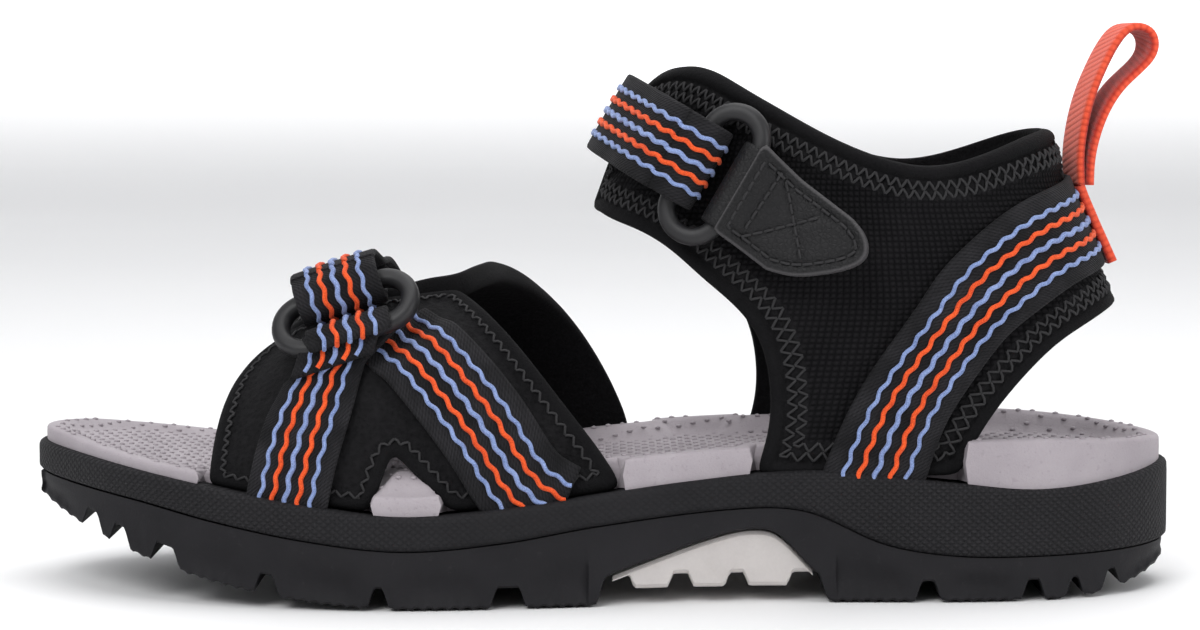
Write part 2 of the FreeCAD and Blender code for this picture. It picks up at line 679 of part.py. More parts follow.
def outer_webbing():
    """The front arm goes up under the ring's lower bar, round it, and is sewn back down on itself."""
    band = band_face(FRONT_WEB_LINE, HALF_WEB)
    strip = cut_panel("arch", WEBBING, band, slab(-80, front_low_bar.y + 2.0))
    turn = sleeve(front_low_bar, front_out, front_inside_low, SLEEVE_R, SLEEVE_R + WEB, HALF_WEB - 0.8)
    outline = [(0.0, SLEEVE_R), (0.0, SLEEVE_R + WEB), (4.0, 2.2), (8.6, 0.2), (8.6, -4.0), (3.0, -6.0),
               (0.0, -5.0), (0.0, -SLEEVE_R)]
    folded = plane_prism(front_low_bar, front_inside_low, front_out, front_bar, outline, HALF_WEB - 0.8)
    folded = folded.cut(form("arch", WEBBING[0]))
    room = Part.makeCylinder(SLEEVE_R, 60, front_low_bar - front_bar * 30, front_bar)
    front = strip.fuse([turn, folded]).cut(room)
    feature("front_webbing_outer", front)
    rear = cut_panel("arch", WEBBING, band_face(REAR_WEB_LINE, HALF_WEB), slab(-80, TOP_SEAM - 2))
    rear = rear.cut(across(band_face(FRONT_WEB_LINE, HALF_WEB + 0.3))).cut(front)
    feature("rear_webbing_outer", rear)


outer_webbing()
inner_rear = cut_panel("arch", WEBBING, band_face(INNER_REAR_LINE, HALF_WEB), slab(2, 80))
strap_lane = front_plane.strip(stations(-4.0, 110.0, 16, lambda t: (-4.0, 12.0)), HALF_WEB + 0.3)
feature("rear_webbing_inner", inner_rear.cut(strap_lane))

# ---------------------------------------------------------------- ankle panels
QUARTER = side_face(
    [(26.3, 6), (26.4, 22), (28.2, 28.5), (28.6, 35.3), (27.9, 40.4), (26.3, 45.0), (22.6, 49.8),
     (17, 54.6), (11.4, 59.4), (5.6, 62.6), (0.5, 64.6), (-2.6, 67.6), (-2.6, 71.8), (0.4, 76.4), (4.8, 82),
     (8.6, 87), (12, 89.8), (16.4, 90.2), (22, 87.7), (30.3, 83), (38.7, 78.5), (47.1, 75.1), (55.6, 73.5),
     (64.3, 75.0), (71.8, 77.6), (77.9, 79.4), (81, 79.4), (84, 77)],
    [(84, 77), (96, 56)],
    [(96, 56), (94, 50.2), (90.8, 49.2), (84.4, 46.6), (78.6, 43.4), (72.4, 38), (67.5, 32.4), (62.6, 24.6),
     (59.6, 17), (58, 6)],
    [(58, 6), (26.3, 6)])
FRONT_OPENING = 3.0
CORNER = 6.0


def quarter_side(sign):
    """The side of the foot that one quarter covers, with round corners where its flap ends in front."""
    flap = Part.makeBox(60, 70, 28, V(-30, 0, 63.5))
    corners = [e for e in flap.Edges if e.BoundBox.XLength > 50 and abs(e.CenterOfMass.y) < 0.01]
    flap = flap.makeFillet(CORNER, corners)
    flap = flap.common(Part.makeBox(52.05, 70, 28, V(-30, 0, 63.5)))
    flap.translate(V(0, FRONT_OPENING, 0))
    side = flap.fuse(slab(BACK_SEAM, 80, 22.0, 130.0))
    low_front = Part.makeBox(52.05, 70, 54, V(-30, FRONT_OPENING + 3, 10))
    side = side.fuse(low_front)
    return side if sign > 0 else side.mirror(V(0, 0, 0), V(0, 1, 0))


BACK_SEAM = 0.1
# The closure strap's lane keeps the edging and the heel webbing clear of it.
ankle_plane = StrapPlane("ankle", (19.5, 72.0), 90 - dim("strap_slope"))
ankle_bar = ankle_plane.bar
ankle_lane = ankle_plane.strip(stations(58.0, 250.0, 30, lambda t: (2.55, 14.0)), HALF_WEB + 0.3)
panel_set("quarter_outer", "ankle", QUARTER, quarter_side(-1), dim("trim_width"), ankle_lane)
panel_set("quarter_inner", "ankle", QUARTER, quarter_side(1), dim("trim_width"), ankle_lane)

# Webbing round the heel, from the outer edge of the sole to the inner one.
HEEL_WEB_LINE = [(40, 6), (46.4, 22.3), (50.6, 33.2), (56.2, 41.8), (63.4, 51.0), (70.2, 57.2), (77, 61.2),
                 (84.3, 63.6), (92, 65.6)]
heel_web = cut_panel("ankle", WEBBING, band_face(HEEL_WEB_LINE, HALF_WEB), slab(-80, 80))
loop_recess = Part.makeBox(9, 13.2, 6, V(80.5, -6.6, 69.2))
feature("heel_webbing", heel_web.cut(ankle_lane).cut(loop_recess))

# Ankle: the ring's rear bar is held by a folded leather tab, and the closure strap goes round its front bar.
RING_ANGLE = 243.0


def ankle_frame():
    """The ankle ring's centre, the way from it to the strap, and the way out from the foot."""
    here = ankle_plane.point(RING_ANGLE, 0.0)
    to_strap = (ankle_plane.point(RING_ANGLE - 4, 0.0) - ankle_plane.point(RING_ANGLE + 4, 0.0)).normalize()
    outward = to_strap.cross(ankle_bar).normalize()
    if outward.y > 0:
        outward = outward * -1
    return here + outward * RING_LIFT, to_strap, outward


ankle_ring_centre, to_strap, ankle_out = ankle_frame()
ankle_strap_bar = ankle_ring_centre + to_strap * (BAR_GAP / 2)
ankle_tab_bar = ankle_ring_centre - to_strap * (BAR_GAP / 2)
ring_body("ankle_ring", ankle_ring_centre, ankle_bar, ankle_out)
ring_strap("ankle", ankle_plane, ankle_strap_bar, ankle_out, to_strap * -1, 235.0, anchor=66.0,
           tip_end=112.0, flat=(0.78, 0.72), widths=HALF_WEB - 1.2)

TAB_THICK = 1.1
TAB_OUTLINE = side_face(
    [(26.6, 78.4), (29.3, 75.6)], [(29.3, 75.6), (33.7, 71.4)], [(33.7, 71.4), (41.8, 65.2)],
    [(41.8, 65.2), (44.2, 61.4), (44.0, 58.8), (41.5, 56.9), (37, 55.8), (32, 55.4), (27.6, 56.4)],
    [(27.6, 56.4), (22.5, 60.3)], [(22.5, 60.3), (15.2, 65.6)], [(15.2, 65.6), (13, 76)], [(13, 76), (26.6, 78.4)])


def ring_tab():
    """A leather tab folded round the ring's rear bar, its two layers sewn flat on the quarter."""
    inside = to_strap
    outer = SLEEVE_R + TAB_THICK
    turn = sleeve(ankle_tab_bar, ankle_out, inside, SLEEVE_R, outer, 7.6)
    outline = [(0, outer), (0, -outer), (4, -4.6), (30, -8.5), (30, -1.6), (20, -1.4), (8.0, -0.6), (4.5, 1.0)]
    layers_flat = plane_prism(ankle_tab_bar, inside, ankle_out, ankle_bar, outline, 12.0)
    room = Part.makeCylinder(SLEEVE_R, 60, ankle_tab_bar - ankle_bar * 30, ankle_bar)
    whole = turn.fuse(layers_flat).common(across(TAB_OUTLINE, -60, 0))
    whole = whole.cut(form("ankle", TRIM[1] + 0.05)).cut(room)
    feature("ring_tab", max(whole.Solids, key=lambda s: s.Volume))


ring_tab()

# ---------------------------------------------------------------- heel pull loop
LOOP_HALF = dim("loop_width") / 2
LOOP_T = dim("loop_thickness")
LOOP_YAW = math.radians(-9.0)
across_loop = V(math.sin(LOOP_YAW), math.cos(LOOP_YAW), 0)


def pull_loop():
    """The loop's middle line, from its front leg over the top and down to its rear leg."""
    middle = [(83.3, 70.8), (83.3, 74.0), (83.8, 79.4), (85.6, 86.5), (87.6, 91.2), (89.6, 94.8), (92.5, 97.2),
              (95.4, 96.2), (96.0, 93.4), (93.9, 90.2), (90.6, 87.0), (87.8, 82.8), (86.0, 78.0), (85.2, 74.0),
              (85.0, 70.8)]
    line = spline([V(x, 0, z) for x, z in middle])
    sides = {1: [], -1: []}
    count = 36
    for k in range(count + 1):
        t = line.FirstParameter + (line.LastParameter - line.FirstParameter) * k / count
        p, d = line.value(t), line.tangent(t)[0]
        for side, found in sides.items():
            found.append((p.x - side * LOOP_T / 2 * d.z, p.z + side * LOOP_T / 2 * d.x))
    a, b = sides[1], sides[-1][::-1]
    band = side_face(a, [a[-1], b[0]], b, [b[-1], a[0]])
    root = side_face([(82.6, 69.8), (85.7, 69.8)], [(85.7, 69.8), (85.7, 71.6)], [(85.7, 71.6), (82.6, 71.6)],
                     [(82.6, 71.6), (82.6, 69.8)])
    both = []
    for face in (band, root):
        face.translate(across_loop * -LOOP_HALF)
        both.append(face.extrude(across_loop * (2 * LOOP_HALF)))
    bead = Part.makeCylinder(0.7, 2 * LOOP_HALF, loop_hinge - across_loop * LOOP_HALF, across_loop)
    feature("pull_loop", both[0].fuse([both[1], bead]).removeSplitter())


loop_hinge = V(86.0, 0, 69.8)
pull_loop()
TAIL = (4.1, 5.9)
tail_face = side_face([(78, 69.2), (100, 69.2)], [(100, 69.2), (100, 56)], [(100, 56), (78, 56)],
                      [(78, 56), (78, 69.2)])
feature("pull_loop_tail", cut_panel("ankle", TAIL, tail_face, slab(-LOOP_HALF, LOOP_HALF)))

# ---------------------------------------------------------------- check and write
NODES = [
    "outsole", "shank_plate", "midsole", "lasting_board", "footbed",
    "vamp_outer_lining", "vamp_outer_field", "vamp_outer_trim",
    "vamp_inner_lining", "vamp_inner_field", "vamp_inner_trim",
    "front_webbing_outer", "rear_webbing_outer", "rear_webbing_inner", "front_ring",
    "front_strap", "front_loop_patch", "front_strap_tip", "front_hook_patch",
    "quarter_outer_lining", "quarter_outer_field", "quarter_outer_trim",
    "quarter_inner_lining", "quarter_inner_field", "quarter_inner_trim",
    "heel_webbing", "ring_tab", "ankle_ring",
    "ankle_strap", "ankle_loop_patch", "ankle_strap_tip", "ankle_hook_patch",
    "pull_loop_tail", "pull_loop",
]
doc.recompute()
for made in doc.Objects:
    if "Invalid" in made.State or "Error" in made.State:
        raise RuntimeError(f"{made.Label} failed: {made.State}")
parts = {made.Label: made for made in doc.Objects}

# The model is moved sideways so that the origin is under the middle of its box.
boxes = [parts[name].Shape.BoundBox for name in NODES]
centring = V(0, -(min(b.YMin for b in boxes) + max(b.YMax for b in boxes)) / 2, 0)
for made in doc.Objects:
    if made.TypeId in ("PartDesign::Body", "Part::Feature"):
        made.Placement = FreeCAD.Placement(centring, FreeCAD.Rotation()).multiply(made.Placement)
doc.recompute()
print(f"moved sideways {centring.y:.4f}")
for name in NODES:
    shape = parts[name].Shape
    if shape.isNull() or not shape.isValid() or shape.Volume < 1:
        raise RuntimeError(f"{name} has no valid shape")
hinges = {"front_ring": (front_low_bar, front_bar), "front_tip": (front_top_bar, front_bar),
          "ankle_ring": (ankle_tab_bar, ankle_bar), "ankle_tip": (ankle_strap_bar, ankle_bar),
          "pull_loop": (loop_hinge, across_loop)}
for name, (point, axis) in hinges.items():
    point = point + centring
    print(f"hinge {name:12s} through {point.x:.4f} {point.y:.4f} {point.z:.4f} along {axis.x:.5f} {axis.y:.5f} {axis.z:.5f}")
for name in NODES:
    shape = parts[name].Shape
    shape.exportStep(f"parts/{name}.step")
    print(f"{name:24s} solids {len(shape.Solids)} volume {shape.Volume:9.1f} mm3")
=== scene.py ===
# %% [markdown]
# # A strappy sport sandal
# Everything is built round two foot forms: an arch over the forefoot and an oval round the ankle. The
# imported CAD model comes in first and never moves; every piece made here stands for one or more of its
# nodes and rides on the same body.

# %% Load the frame
import math

import bmesh
import bpy
import numpy as np
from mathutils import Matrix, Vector, geometry


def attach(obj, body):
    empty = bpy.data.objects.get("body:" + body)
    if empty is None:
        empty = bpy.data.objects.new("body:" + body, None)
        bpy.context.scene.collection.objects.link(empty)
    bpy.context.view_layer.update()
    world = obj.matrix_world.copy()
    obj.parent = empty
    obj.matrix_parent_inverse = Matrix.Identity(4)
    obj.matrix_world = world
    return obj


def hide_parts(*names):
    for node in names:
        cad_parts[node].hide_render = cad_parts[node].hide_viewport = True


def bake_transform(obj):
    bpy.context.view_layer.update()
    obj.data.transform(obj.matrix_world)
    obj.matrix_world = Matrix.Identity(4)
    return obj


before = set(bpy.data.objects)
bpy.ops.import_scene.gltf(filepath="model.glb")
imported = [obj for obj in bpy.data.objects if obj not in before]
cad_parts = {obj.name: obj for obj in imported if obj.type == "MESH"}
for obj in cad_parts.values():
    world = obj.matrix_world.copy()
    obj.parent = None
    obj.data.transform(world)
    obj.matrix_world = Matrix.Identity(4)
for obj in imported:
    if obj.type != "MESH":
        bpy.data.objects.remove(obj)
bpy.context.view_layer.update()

MM = 0.001
HALF_WEB = 7.5  # half the width of the webbing
SHIFT = np.array([0, 0.001247, 0])  # the middle of the sandal's box, from the middle of its foot forms


# %% [markdown]
# ## Curves and profiles
# A sandal maker draws a few points and a smooth line through them. `smooth_curve` does that with a cubic
# spline and hands back evenly spaced points; `Profile` turns a short table into a smooth function.

# %% Smooth curves
def smooth_curve(points, step, closed=False):
    """Points about step apart on a smooth curve through the given ones."""
    p = np.array(points, float)
    if closed:
        p = np.vstack([p, p[:1]])
    h = np.linalg.norm(np.diff(p, axis=0), axis=1)
    n = len(p)
    a, b = np.zeros((n, n)), np.zeros((n, p.shape[1]))
    for i in range(1, n - 1):
        a[i, i - 1], a[i, i], a[i, i + 1] = h[i], 2 * (h[i] + h[i - 1]), h[i - 1]
        b[i] = 3 * (h[i] * (p[i] - p[i - 1]) / h[i - 1] + h[i - 1] * (p[i + 1] - p[i]) / h[i])
    if closed:
        a[0, 0], a[0, -1] = 1, -1
        a[-1, -2], a[-1, 0], a[-1, 1] = h[0], 2 * (h[0] + h[-1]), h[-1]
        b[-1] = 3 * (h[0] * (p[0] - p[-2]) / h[-1] + h[-1] * (p[1] - p[0]) / h[0])
    else:
        a[0, 0], a[0, 1], b[0] = 2, 1, 3 * (p[1] - p[0]) / h[0]
        a[-1, -1], a[-1, -2], b[-1] = 2, 1, 3 * (p[-1] - p[-2]) / h[-1]
    m = np.linalg.solve(a, b)
    dense = []
    for i in range(n - 1):
        t = np.linspace(0, 1, 40, endpoint=False)[:, None]
        dense.append((2 * t**3 - 3 * t**2 + 1) * p[i] + (t**3 - 2 * t**2 + t) * h[i] * m[i]
                     + (3 * t**2 - 2 * t**3) * p[i + 1] + (t**3 - t**2) * h[i] * m[i + 1])
    return evenly(np.vstack([*dense, p[-1:]]), step, closed)


def evenly(points, step, closed=False):
    """The same line, with points an even step apart. A closed line doesn't repeat its first point."""
    run = np.concatenate([[0], np.cumsum(np.linalg.norm(np.diff(points, axis=0), axis=1))])
    count = max(2, int(round(run[-1] / step)) + 1)
    where = np.linspace(0, run[-1], count)
    found = np.column_stack([np.interp(where, run, points[:, k]) for k in range(points.shape[1])])
    return found[:-1] if closed else found


def outline_of(*runs, step=1.5):
    """A closed outline from runs of points: a run of two is a straight edge, a longer one a smooth edge."""
    made = []
    for run in runs:
        line = evenly(np.array(run, float), step) if len(run) == 2 else smooth_curve(run, step)
        made.append(line[:-1])
    return np.vstack(made)


class Profile:
    """A smooth function through a table of (x, value)."""

    def __init__(self, pairs):
        self.x, self.v = np.array(pairs, float).T
        x = np.concatenate([[2 * self.x[0] - self.x[1]], self.x, [2 * self.x[-1] - self.x[-2]]])
        v = np.concatenate([[2 * self.v[0] - self.v[1]], self.v, [2 * self.v[-1] - self.v[-2]]])
        self.slope = (v[2:] - v[:-2]) / (x[2:] - x[:-2])

    def __call__(self, x):
        x = np.clip(x, self.x[0], self.x[-1])
        i = np.clip(np.searchsorted(self.x, x) - 1, 0, len(self.x) - 2)
        w = self.x[i + 1] - self.x[i]
        t = (x - self.x[i]) / w
        return ((2 * t**3 - 3 * t**2 + 1) * self.v[i] + (t**3 - 2 * t**2 + t) * w * self.slope[i]
                + (3 * t**2 - 2 * t**3) * self.v[i + 1] + (t**3 - t**2) * w * self.slope[i + 1])


def ease(t):
    t = np.clip(t, 0, 1)
    return t * t * (3 - 2 * t)


# %% [markdown]
# ## The foot forms
# Both forms are superellipses, which are ovals with slightly square shoulders, like a foot. The arch
# changes along X, and the ankle oval changes along Z. `turn` is the angle round a form in degrees, and
# `offset` is the distance out from it, in millimetres. Layers of the upper are just different offsets.

# %% Foot forms
ARCH_BASE, ARCH_POWER = 13.0, 2.6
ARCH_CENTRE = Profile([(-80, 2.0), (-66, 0.9), (-50, -0.7), (-38, -1.2), (-20, -1.9), (0, -2.0), (14, -2.0)])
ARCH_HALF = Profile([(-80, 25.0), (-66, 29.4), (-50, 33.2), (-38, 34.0), (-20, 32.2), (0, 28.8), (14, 26.4)])
ARCH_TOP = Profile([(-80, 25.0), (-66, 35.4), (-52, 44.6), (-42, 48.6), (-30, 50.4), (-20, 51.6),
                    (-10, 53.4), (4, 56.4), (14, 58.4)])
ANKLE_POWER = 2.5
ANKLE_FRONT = Profile([(8, -24), (20, -20), (35, -13), (50, -6), (60, -1), (68, 2), (75, 4.6), (82, 7.8),
                       (90, 12), (98, 16)])
ANKLE_BACK = Profile([(8, 90), (30, 89.4), (42, 88.8), (50, 87.6), (56, 84.8), (60, 83.0), (64, 81.2),
                      (70, 78.8), (75, 78.0), (80, 76.4), (98, 73)])
ANKLE_HALF = Profile([(8, 25.6), (20, 25.6), (45, 25.4), (70, 24.6), (98, 23.4)])
ANKLE_CENTRE = Profile([(8, -1.3), (20, -1.3), (50, -0.5), (70, 0), (98, 0)])


def arch_size(x, offset):
    return ARCH_CENTRE(x), ARCH_HALF(x) + offset, ARCH_TOP(x) - ARCH_BASE + offset


def ankle_size(z, offset):
    front, back = ANKLE_FRONT(z), ANKLE_BACK(z)
    return (front + back) / 2, (back - front) / 2 + offset, ANKLE_CENTRE(z), ANKLE_HALF(z) + offset


def arch_at(x, turn, offset):
    """Points of the forefoot form. Turn 0 is the inner side, 90 the top, 180 the outer side."""
    c, s = np.cos(np.radians(turn)), np.sin(np.radians(turn))
    centre, half, high = arch_size(x, offset)
    y = centre + half * np.sign(c) * np.abs(c) ** (2 / ARCH_POWER)
    return np.stack([x + 0 * y, y, ARCH_BASE + high * np.abs(s) ** (2 / ARCH_POWER)], -1)


def ankle_at(z, turn, offset):
    """Points of the ankle form. Turn 0 is the heel, 90 the inner side, 180 the front, 270 the outer side."""
    c, s = np.cos(np.radians(turn)), np.sin(np.radians(turn))
    mid, long_half, centre, half = ankle_size(z, offset)
    x = mid + long_half * np.sign(c) * np.abs(c) ** (2 / ANKLE_POWER)
    y = centre + half * np.sign(s) * np.abs(s) ** (2 / ANKLE_POWER)
    return np.stack([x, y, z + 0 * y], -1)


# %% [markdown]
# Cloth is cut flat, so each form also gets a flat map: distance round the form against distance along it.
# `turn_of` and `run_of` go between an angle and that distance, and two helpers place a point that is known
# from the side view.

# %% Flat maps of the forms
TURNS = np.linspace(0, 360, 1441)
ankle_ring_line = ankle_at(np.full_like(TURNS, 50.0), TURNS, 2.0)
ankle_run = np.concatenate([[0], np.cumsum(np.linalg.norm(np.diff(ankle_ring_line, axis=0), axis=1))])
ankle_run -= np.interp(180, TURNS, ankle_run)
arch_turns = TURNS[TURNS <= 180]
arch_line = arch_at(np.full_like(arch_turns, -38.0), arch_turns, 2.0)
arch_run = np.concatenate([[0], np.cumsum(np.linalg.norm(np.diff(arch_line, axis=0), axis=1))])
arch_run -= np.interp(90, arch_turns, arch_run)


def ankle_place(u, v, offset):
    """The flat map of the ankle: u is the run round from the front, outer side positive; v is height."""
    return ankle_at(v, np.interp(u, ankle_run, TURNS), offset)


def arch_place(u, v, offset):
    """The flat map of the forefoot: u is the run from the top, outer side positive; v is x."""
    return arch_at(v, np.interp(u, arch_run, arch_turns), offset)


def ankle_flat(points, outer=True):
    """Side-view (x, z) points as (run, height)."""
    x, z = np.array(points, float).T
    mid, long_half, _, _ = ankle_size(z, 2.0)
    q = np.clip((x - mid) / long_half, -1, 1)
    turn = np.degrees(np.arccos(np.sign(q) * np.abs(q) ** (ANKLE_POWER / 2)))
    return np.column_stack([np.interp(360 - turn if outer else turn, TURNS, ankle_run), z])


def arch_flat(points, outer=True):
    """Side-view (x, z) points as (run, x)."""
    x, z = np.array(points, float).T
    _, _, high = arch_size(x, 2.0)
    s = np.clip((z - ARCH_BASE) / high, 0, 1) ** (ARCH_POWER / 2)
    turn = np.degrees(np.arcsin(s))
    return np.column_stack([np.interp(180 - turn if outer else turn, arch_turns, arch_run), x])


print(f"round the ankle {ankle_run[-1] - ankle_run[0]:.0f} mm,",
      f"over the forefoot {arch_run[-1] - arch_run[0]:.0f} mm")


# %% [markdown]
# ## Turning points into pieces
# Three builders cover nearly the whole sandal. `panel` fills a flat outline with triangles and lifts it onto
# a form with a rounded edge. `ribbon` sweeps a strap section along a path. `loft` joins rings of points.
# Each writes a UV map of the cloth, a hundredth of a unit to the millimetre, so weaves follow the piece.

# %% Mesh builder
def make_piece(name, verts, faces, uvs=None, **values):
    """A mesh object from millimetre points; uvs are per point, in mm, and values are per-point numbers."""
    mesh = bpy.data.meshes.new(name)
    mesh.from_pydata((np.asarray(verts, float) * MM + SHIFT).tolist(), [], [list(map(int, f)) for f in faces])
    if uvs is not None:
        layer = mesh.uv_layers.new(name="cloth")
        index = np.zeros(len(mesh.loops), int)
        mesh.loops.foreach_get("vertex_index", index)
        layer.data.foreach_set("uv", (np.asarray(uvs, float)[index] * 0.01).ravel())
    for key, numbers in values.items():
        attribute = mesh.attributes.new(key, "FLOAT", "POINT")
        attribute.data.foreach_set("value", np.asarray(numbers, np.float32))
    mesh.polygons.foreach_set("use_smooth", [True] * len(mesh.polygons))
    mesh.update()
    obj = bpy.data.objects.new(name, mesh)
    bpy.context.scene.collection.objects.link(obj)
    return obj


def settle(obj, body, slot, *nodes):
    """The finished piece rides on its body and stands for CAD nodes, which are hidden; slot is not used."""
    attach(obj, body)
    if nodes:
        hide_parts(*nodes)
    return obj


# %% [markdown]
# ## Filling a flat pattern
# A panel could be a subdivided grid cut to shape, but its edge would come out in steps. Here the outline's
# own points are kept, rows of points follow it inwards, and a constrained Delaunay net joins them all, so a
# rolled edge stays smooth. Heights then depend only on each point's distance from the edge.

# %% Panel builder
def distance_to(points, outline):
    """How far each point is from a closed outline."""
    a, b = outline, np.roll(outline, -1, axis=0)
    ab = b - a
    best = np.full(len(points), 1e9)
    for i in range(len(a)):
        t = np.clip(((points - a[i]) @ ab[i]) / max(ab[i] @ ab[i], 1e-12), 0, 1)
        best = np.minimum(best, np.linalg.norm(points - a[i] - t[:, None] * ab[i], axis=1))
    return best


def inside(points, outline):
    a, b = outline, np.roll(outline, -1, axis=0)
    crossings = np.zeros(len(points), int)
    for (xa, ya), (xb, yb) in zip(a, b):
        spans = (ya > points[:, 1]) != (yb > points[:, 1])
        if ya != yb:
            crossings += spans & (points[:, 0] < (xb - xa) * (points[:, 1] - ya) / (yb - ya) + xa)
    return crossings % 2 == 1


def inward_normals(outline):
    tangent = np.roll(outline, -1, axis=0) - np.roll(outline, 1, axis=0)
    normal = np.column_stack([-tangent[:, 1], tangent[:, 0]])
    normal /= np.linalg.norm(normal, axis=1)[:, None]
    x, y = outline.T
    area = (x * np.roll(y, -1) - np.roll(x, -1) * y).sum()
    return normal if area > 0 else -normal


def fill(outline, step, rings):
    """Triangles inside an outline: (points, triangles, distance from the edge)."""
    inward = inward_normals(outline)
    extra = []
    for ring in rings:
        p = outline + inward * ring
        extra.append(p[inside(p, outline) & (distance_to(p, outline) > 0.9 * ring)])
    lo, hi = outline.min(0), outline.max(0)
    rows = []
    for j, v in enumerate(np.arange(lo[1], hi[1], step * 0.866)):
        u = np.arange(lo[0] + (j % 2) * step / 2, hi[0], step)
        rows.append(np.column_stack([u, np.full_like(u, v)]))
    grid = np.vstack(rows)
    grid = grid[inside(grid, outline)]
    grid = grid[distance_to(grid, outline) > (rings[-1] if rings else 0) + 0.55 * step]
    points = np.vstack([outline, *extra, grid])
    n = len(outline)
    found = geometry.delaunay_2d_cdt([Vector(p) for p in points.tolist()], [], [list(range(n))], 1, 1e-5)
    points = np.array([tuple(p) for p in found[0]])
    triangles = np.array([f for f in found[2] if len(f) == 3])
    distance = distance_to(points, outline)
    distance[distance < 1e-4] = 0
    return points, triangles, distance


def panel(name, outline, place, upper, lower, step, rings):
    """A padded panel: upper and lower give offsets from (u, v, distance to the edge)."""
    p, tri, d = fill(outline, step, rings)
    u, v = p.T
    high, low = upper(u, v, d), lower(u, v, d)
    top, bottom = place(u, v, high), place(u, v, low)
    edge = d == 0
    under = np.where(edge, np.arange(len(p)), 0)
    under[~edge] = len(p) + np.arange((~edge).sum())
    verts = np.vstack([top, bottom[~edge]])
    n = np.cross(top[tri[:, 1]] - top[tri[:, 0]], top[tri[:, 2]] - top[tri[:, 0]])
    mid = top[tri].mean(1) - bottom[tri].mean(1)
    if (n * mid).sum() < 0:
        tri = tri[:, ::-1]
    faces = np.vstack([tri, under[tri][:, ::-1]])
    uv = np.vstack([p, p[~edge]])
    side = np.concatenate([np.ones(len(p)), np.zeros((~edge).sum())])
    return make_piece(name, verts, faces, uv, edge=np.concatenate([d, d[~edge]]), outside=side)


def round_edge(d, radius):
    """How far a rounded edge has risen at a distance in from it, from 0 to 1."""
    return np.sqrt(np.clip(1 - (1 - np.clip(d / radius, 0, 1)) ** 2, 0, 1))


# %% [markdown]
# ## Straps and rings of points
# Webbing is flat with slightly rounded edges, so one thirteen-point half section, mirrored, serves for every
# strap. Sweeping it by hand rather than with a curve bevel keeps the strap's own side and face directions,
# which twist with the foot form and not with the path.

# %% Ribbon and loft builders
SECTION_W = np.array([-1, -0.985, -0.93, -0.75, -0.5, -0.25, 0, 0.25, 0.5, 0.75, 0.93, 0.985, 1])
SECTION_H = np.array([0.0, 0.34, 0.47, 0.5, 0.5, 0.5, 0.5, 0.5, 0.5, 0.5, 0.47, 0.34, 0.0])


def length_along(points):
    return np.concatenate([[0], np.cumsum(np.linalg.norm(np.diff(points, axis=0), axis=1))])


def ribbon(name, centre, side, normal, half, thick):
    """A strap: its section is swept along centre, wide along side and thick along normal."""
    n = len(centre)
    half, thick = np.broadcast_to(half, n), np.broadcast_to(thick, n)
    w = np.concatenate([SECTION_W, SECTION_W[-2:0:-1]])
    h = np.concatenate([SECTION_H, -SECTION_H[-2:0:-1]])
    m = len(w)
    verts = (centre[:, None] + side[:, None] * (half[:, None] * w)[..., None]
             + normal[:, None] * (thick[:, None] * h)[..., None]).reshape(-1, 3)
    faces = []
    for i in range(n - 1):
        for k in range(m):
            a, b = i * m + k, i * m + (k + 1) % m
            faces.append((a, b, b + m, a + m))
    faces.append(tuple(range(m))[::-1])
    faces.append(tuple((n - 1) * m + k for k in range(m)))
    run = length_along(centre)
    uv = np.stack([np.repeat(run, m), (half[:, None] * w).ravel()], -1)
    flip = np.dot(np.cross(side[0], normal[0]), centre[1] - centre[0]) > 0
    if flip:
        faces = [f[::-1] for f in faces]
    obj = make_piece(name, verts, faces, uv, outside=np.tile((h > -0.01).astype(float), n))
    return obj


def sheet_between(rings):
    """Quads between closed rings of equal count."""
    m, faces = len(rings[0]), []
    for i in range(len(rings) - 1):
        for k in range(m):
            a, b = i * m + k, i * m + (k + 1) % m
            faces.append((a, b, b + m, a + m))
    return np.vstack(rings), faces


def loft(name, rings, closed_ends=(False, False), uvs=None, **values):
    """Quads between rings of equal count; an end may be closed by a fan about its middle."""
    n, m = len(rings), len(rings[0])
    verts, faces = sheet_between([np.asarray(r, float) for r in rings])
    if closed_ends[0]:
        faces.append(tuple(range(m))[::-1])
    if closed_ends[1]:
        faces.append(tuple((n - 1) * m + k for k in range(m)))
    return make_piece(name, verts, faces, uvs, **values)


def fix_normals(obj):
    bm = bmesh.new()
    bm.from_mesh(obj.data)
    bmesh.ops.remove_doubles(bm, verts=bm.verts, dist=1e-7)
    bmesh.ops.recalc_face_normals(bm, faces=bm.faces)
    bm.to_mesh(obj.data)
    bm.free()
    return obj


# %% [markdown]
# ## Node graphs as expressions
# Shader and geometry maths read better as formulas. `Term` wraps a socket, so `1 - mask * 0.5` adds the Math
# nodes; `Graph.add` makes any other node from its type, its settings and its sockets.

# %% Node expressions
class Term:
    def __init__(self, graph, socket):
        self.graph, self.socket = graph, socket

    def math(self, operation, *others):
        return self.graph.add("ShaderNodeMath", {"operation": operation}, [self, *others])

    def __add__(self, other):
        return self.math("ADD", other)

    def __sub__(self, other):
        return self.math("SUBTRACT", other)

    def __rsub__(self, other):
        return self.graph.add("ShaderNodeMath", {"operation": "SUBTRACT"}, [other, self])

    def __mul__(self, other):
        return self.math("MULTIPLY", other)

    def __truediv__(self, other):
        return self.math("DIVIDE", other)

    __radd__, __rmul__ = __add__, __mul__

    def sin(self):
        return self.math("SINE")

    def abs(self):
        return self.math("ABSOLUTE")

    def clamp(self):
        return self.graph.add("ShaderNodeClamp", {}, [self, 0.0, 1.0])

    def band(self, low, high):
        """0 below low, 1 above high, smooth between."""
        return self.graph.add("ShaderNodeMapRange", {"interpolation_type": "SMOOTHSTEP"},
                              {"Value": self, "From Min": low, "From Max": high})


